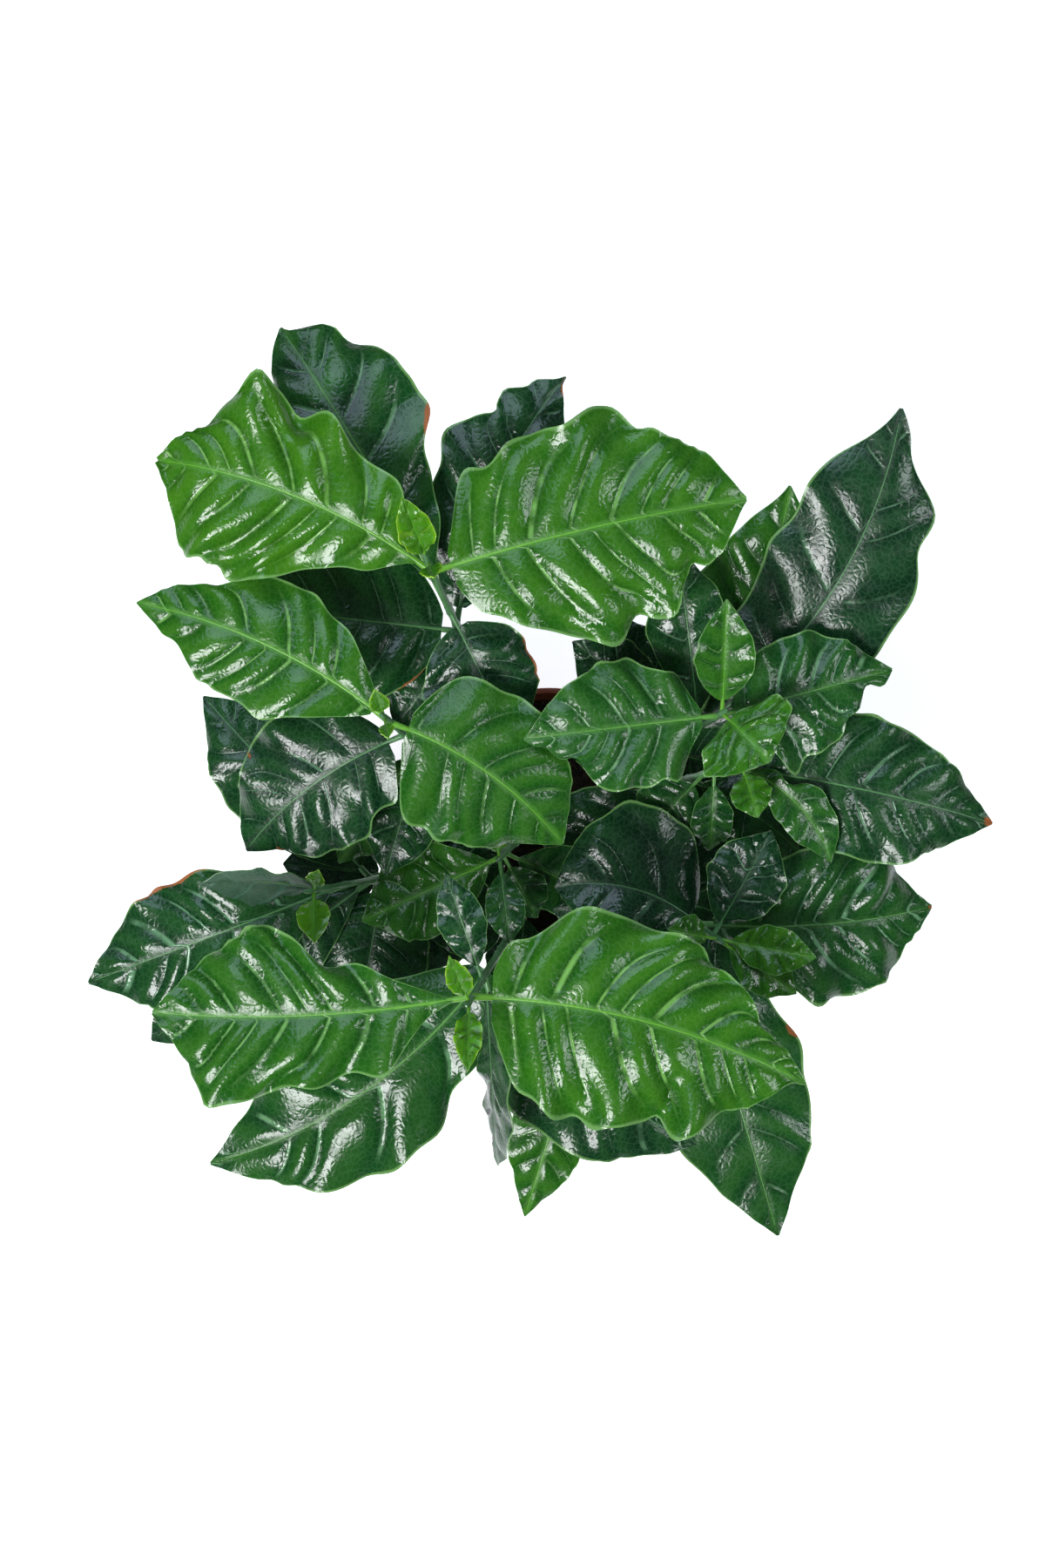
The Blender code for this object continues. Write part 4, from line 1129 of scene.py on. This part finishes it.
# %% [markdown]
# ## Drain holes
# Water has to run out again, so the pot's floor has a ring of round holes. A pin in the mould
# keeps each one open, and here a cylinder is cut away in its place.

# %% Drain holes
for index in range(DRAIN_COUNT):
    turn = 2.0 * math.pi * (index + 0.5) / DRAIN_COUNT
    place = (DRAIN_CIRCLE * math.cos(turn) * MM, DRAIN_CIRCLE * math.sin(turn) * MM, 0.0)
    bpy.ops.object.select_all(action="DESELECT")
    bpy.ops.mesh.primitive_cylinder_add(
        vertices=32, radius=DRAIN_RADIUS * MM, depth=4.0 * POT_FLOOR * MM, location=place)
    drill = bpy.context.object
    select_only(pot)
    cut = pot.modifiers.new("drain", "BOOLEAN")
    cut.operation = "DIFFERENCE"
    cut.object = drill
    bpy.ops.object.modifier_apply(modifier=cut.name)
    bpy.data.objects.remove(drill, do_unlink=True)
give_material(pot, plastic_material())
select_only(pot)
bpy.ops.object.shade_smooth_by_angle(angle=math.radians(POT_SMOOTHING))
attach(pot, "root")
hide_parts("pot")
print("pot faces:", len(pot.data.polygons))

# %% [markdown]
# ## The soil
# Potting soil is damp peat. Its fibres swallow nearly all the light, so it looks almost black and
# dead matt, and the green above it stands out. The plug of soil is a cone whose top face is
# inset ring by ring, and its surface is then made lumpy.

# %% Finish and surface of the soil
SOIL_MOUND = 2.5
SOIL_LUMP = 0.7
SOIL_CRUMBLE = 1.1
SOIL_SIDE = 0.4
SOIL_RINGS = 22
PEAT_SIZE = 2.5


def soil_material():
    """Damp peat: nearly black, matt and crumbly."""
    material, add = new_material("damp_peat", Roughness=0.93)
    coords = add("TexCoord", output="Object")
    peat = add("TexNoise", None, {"Vector": coords, "Scale": PER_METRE / PEAT_SIZE, "Detail": 6.0})
    share = add(*FADE, (peat, 0.35, 0.7))
    colour = add(*BLEND, {0: share, 6: "#120a06", 7: "#3a2719"}, 2)
    return finish_material(material, colour, peat)


def soil_height(x, y, radius):
    """Return the height of the soil's surface in mm."""
    share = math.hypot(x, y) / radius
    lump = math.sin(x * 0.31 + 1.0) * math.cos(y * 0.27) + math.sin(x * y * 0.02)
    fine = noise.noise(Vector((x * 0.22, y * 0.22, 3.0))) * SOIL_CRUMBLE
    return SOIL_TOP + SOIL_MOUND * (1.0 - share ** 2) + SOIL_LUMP * lump + fine


print("soil in the middle, in mm:", round(soil_height(0.0, 0.0, POT_RIM_RADIUS), 1))

# %% Make the plug of soil
soil_low = POT_FLOOR + 0.3
soil_radius = inner_radius(SOIL_TOP) - SOIL_SIDE
bpy.ops.object.select_all(action="DESELECT")
bpy.ops.mesh.primitive_cone_add(
    vertices=POT_SIDES, radius1=(inner_radius(soil_low) - SOIL_SIDE) * MM, radius2=soil_radius * MM,
    depth=(SOIL_TOP - soil_low) * MM, location=(0, 0, (SOIL_TOP + soil_low) / 2.0 * MM))
soil = bpy.context.object
bpy.ops.object.transform_apply(location=True, rotation=True, scale=True)
bpy.ops.object.mode_set(mode="EDIT")
bpy.ops.mesh.select_all(action="DESELECT")
bpy.ops.object.mode_set(mode="OBJECT")
for face in soil.data.polygons:
    face.select = face.normal.z > 0.9
bpy.ops.object.mode_set(mode="EDIT")
for _ in range(SOIL_RINGS):
    bpy.ops.mesh.inset(thickness=soil_radius / (SOIL_RINGS + 1) * MM)
bpy.ops.mesh.poke()
bpy.ops.object.mode_set(mode="OBJECT")
for vert in soil.data.vertices:
    if vert.co.z > (SOIL_TOP - 1.0) * MM:
        vert.co.z = soil_height(vert.co.x / MM, vert.co.y / MM, soil_radius) * MM
give_material(soil, soil_material())
print("soil surface faces:", len(soil.data.polygons))

# %% [markdown]
# ## Crumbs and perlite
# Bits of bark and peat lie loose on top, and a few of them are perlite: volcanic glass that was
# heated until it foamed. Its pores scatter all the light, so it shows as small chalk-white dots
# in the dark soil. One low stone is modelled, and each crumb is a copy of it with a size, a
# stretch and a turn of its own.

# %% Crumbs and perlite
CRUMB_COUNT = 420
CRUMB_SEED = 7
CRUMB_ROUGHNESS = 0.3
CRUMB_SMOOTHING = 40.0
PERLITE_EVERY = 14
PORE_SIZE = 0.7
RIM_GAP = 2.5


def perlite_material():
    """Expanded perlite: a white, porous volcanic glass."""
    material, add = new_material("white_perlite", Roughness=0.85)
    coords = add("TexCoord", output="Object")
    pores = add("TexNoise", None, {"Vector": coords, "Scale": PER_METRE / PORE_SIZE, "Detail": 3.0})
    share = add(*FADE, (pores, 0.35, 0.65))
    colour = add(*BLEND, {0: share, 6: "#8f8778", 7: "#e3ddd0"}, 2)
    height = add(*TIMES, (pores, 0.4))
    return finish_material(material, colour, height, 0.8)


PERLITE = perlite_material()
draw = np.random.default_rng(CRUMB_SEED)
bpy.ops.object.select_all(action="DESELECT")
bpy.ops.mesh.primitive_ico_sphere_add(subdivisions=1, radius=1.0, location=(0, 0, 0))
crumb = bpy.context.object
for vert in crumb.data.vertices:
    vert.co *= 1.0 + CRUMB_ROUGHNESS * noise.noise(vert.co * 1.7)
crumbs = [soil]
for index in range(CRUMB_COUNT):
    radius = (soil_radius - RIM_GAP) * math.sqrt(draw.uniform(0.0, 1.0))
    turn = draw.uniform(0.0, 2.0 * math.pi)
    x, y = radius * math.cos(turn), radius * math.sin(turn)
    white = index % PERLITE_EVERY == 0
    if white:
        size = draw.uniform(0.8, 1.5)
        stretch = (1.0, 0.9, 0.8)
    else:
        size = draw.uniform(0.5, 1.9)
        stretch = (1.0, draw.uniform(0.5, 0.9), draw.uniform(0.35, 0.7))
    copy = crumb.copy()
    copy.data = crumb.data.copy()
    bpy.context.scene.collection.objects.link(copy)
    place = Vector((x, y, soil_height(x, y, soil_radius) + 0.25 * size)) * MM
    turned = Euler(tuple(draw.uniform(0.0, 6.28, 3))).to_matrix().to_4x4()
    shape = Matrix.Diagonal((*[size * MM * s for s in stretch], 1.0))
    copy.data.transform(Matrix.Translation(place) @ turned @ shape)
    give_material(copy, PERLITE if white else soil.data.materials[0])
    crumbs.append(copy)
bpy.data.objects.remove(crumb, do_unlink=True)
select_only(*crumbs)
bpy.ops.object.join()
soil.name = "soil_and_crumbs"
bpy.ops.object.shade_smooth_by_angle(angle=math.radians(CRUMB_SMOOTHING))
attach(soil, "root")
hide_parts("soil")
print("soil with its crumbs:", len(soil.data.polygons), "faces")

# %% [markdown]
# ## The floor
# The plant stands on a plain pale floor, like the paper in a photographer's studio. Such paper
# is lit from all sides, so it is nearly white and the shadows on it are faint. A floor that
# glows a little by itself fills its own shadows in the same way.

# %% Floor
FLOOR_SIZE = 8.0
FLOOR_GLOW = 0.66

bpy.ops.object.select_all(action="DESELECT")
bpy.ops.mesh.primitive_plane_add(size=FLOOR_SIZE, location=(0, 0, 0))
floor = bpy.context.object
floor.name = "pale_floor"
floor_paper, _ = new_material(
    "pale_matt_floor", Roughness=0.9, Base_Color=from_hex("#f4f4f5"),
    Emission_Color=from_hex("#f7f8fa"), Emission_Strength=FLOOR_GLOW)
give_material(floor, floor_paper)
print("floor", FLOOR_SIZE, "m wide")

# %% [markdown]
# ## The light
# A picture of glossy leaves is mostly a picture of what they mirror, so the light matters more
# here than any colour. Wide soft boxes hang on three sides, and straight above, where the camera
# is, it stays dark. Level parts of a leaf then show their own green, and each cushion that tilts
# towards a box turns white. The dim bluish room fills in the rest.

# %% Light
AIM_HEIGHT = 0.2
ROOM_STRENGTH = 0.105
SoftBox = namedtuple("SoftBox", "name place size power colour")
SOFT_BOXES = [
    SoftBox("soft_box_front", (-0.70, -0.80, 1.75), 0.75, 40.0, "#fdfdff"),
    SoftBox("soft_box_back", (-0.55, 1.15, 1.9), 1.3, 18.0, "#d2e6ff"),
    SoftBox("soft_box_right", (1.15, -0.05, 1.6), 0.5, 7.0, "#f4f8ff"),
]
for box in SOFT_BOXES:
    aim = Vector((0.0, 0.0, AIM_HEIGHT)) - Vector(box.place)
    turned = aim.to_track_quat("-Z", "Y").to_euler()
    bpy.ops.object.light_add(type="AREA", location=box.place, rotation=turned)
    lamp = bpy.context.object
    lamp.name = box.name
    lamp.data.size = box.size
    lamp.data.energy = box.power
    lamp.data.color = from_hex(box.colour)[:3]
world = bpy.data.worlds.new("studio_room")
world.use_nodes = True
background = world.node_tree.nodes["Background"]
background.inputs["Color"].default_value = from_hex("#e4eefa")
background.inputs["Strength"].default_value = ROOM_STRENGTH
bpy.context.scene.world = world
bpy.context.scene.view_settings.view_transform = "Standard"
print("soft boxes:", [box.name for box in SOFT_BOXES])
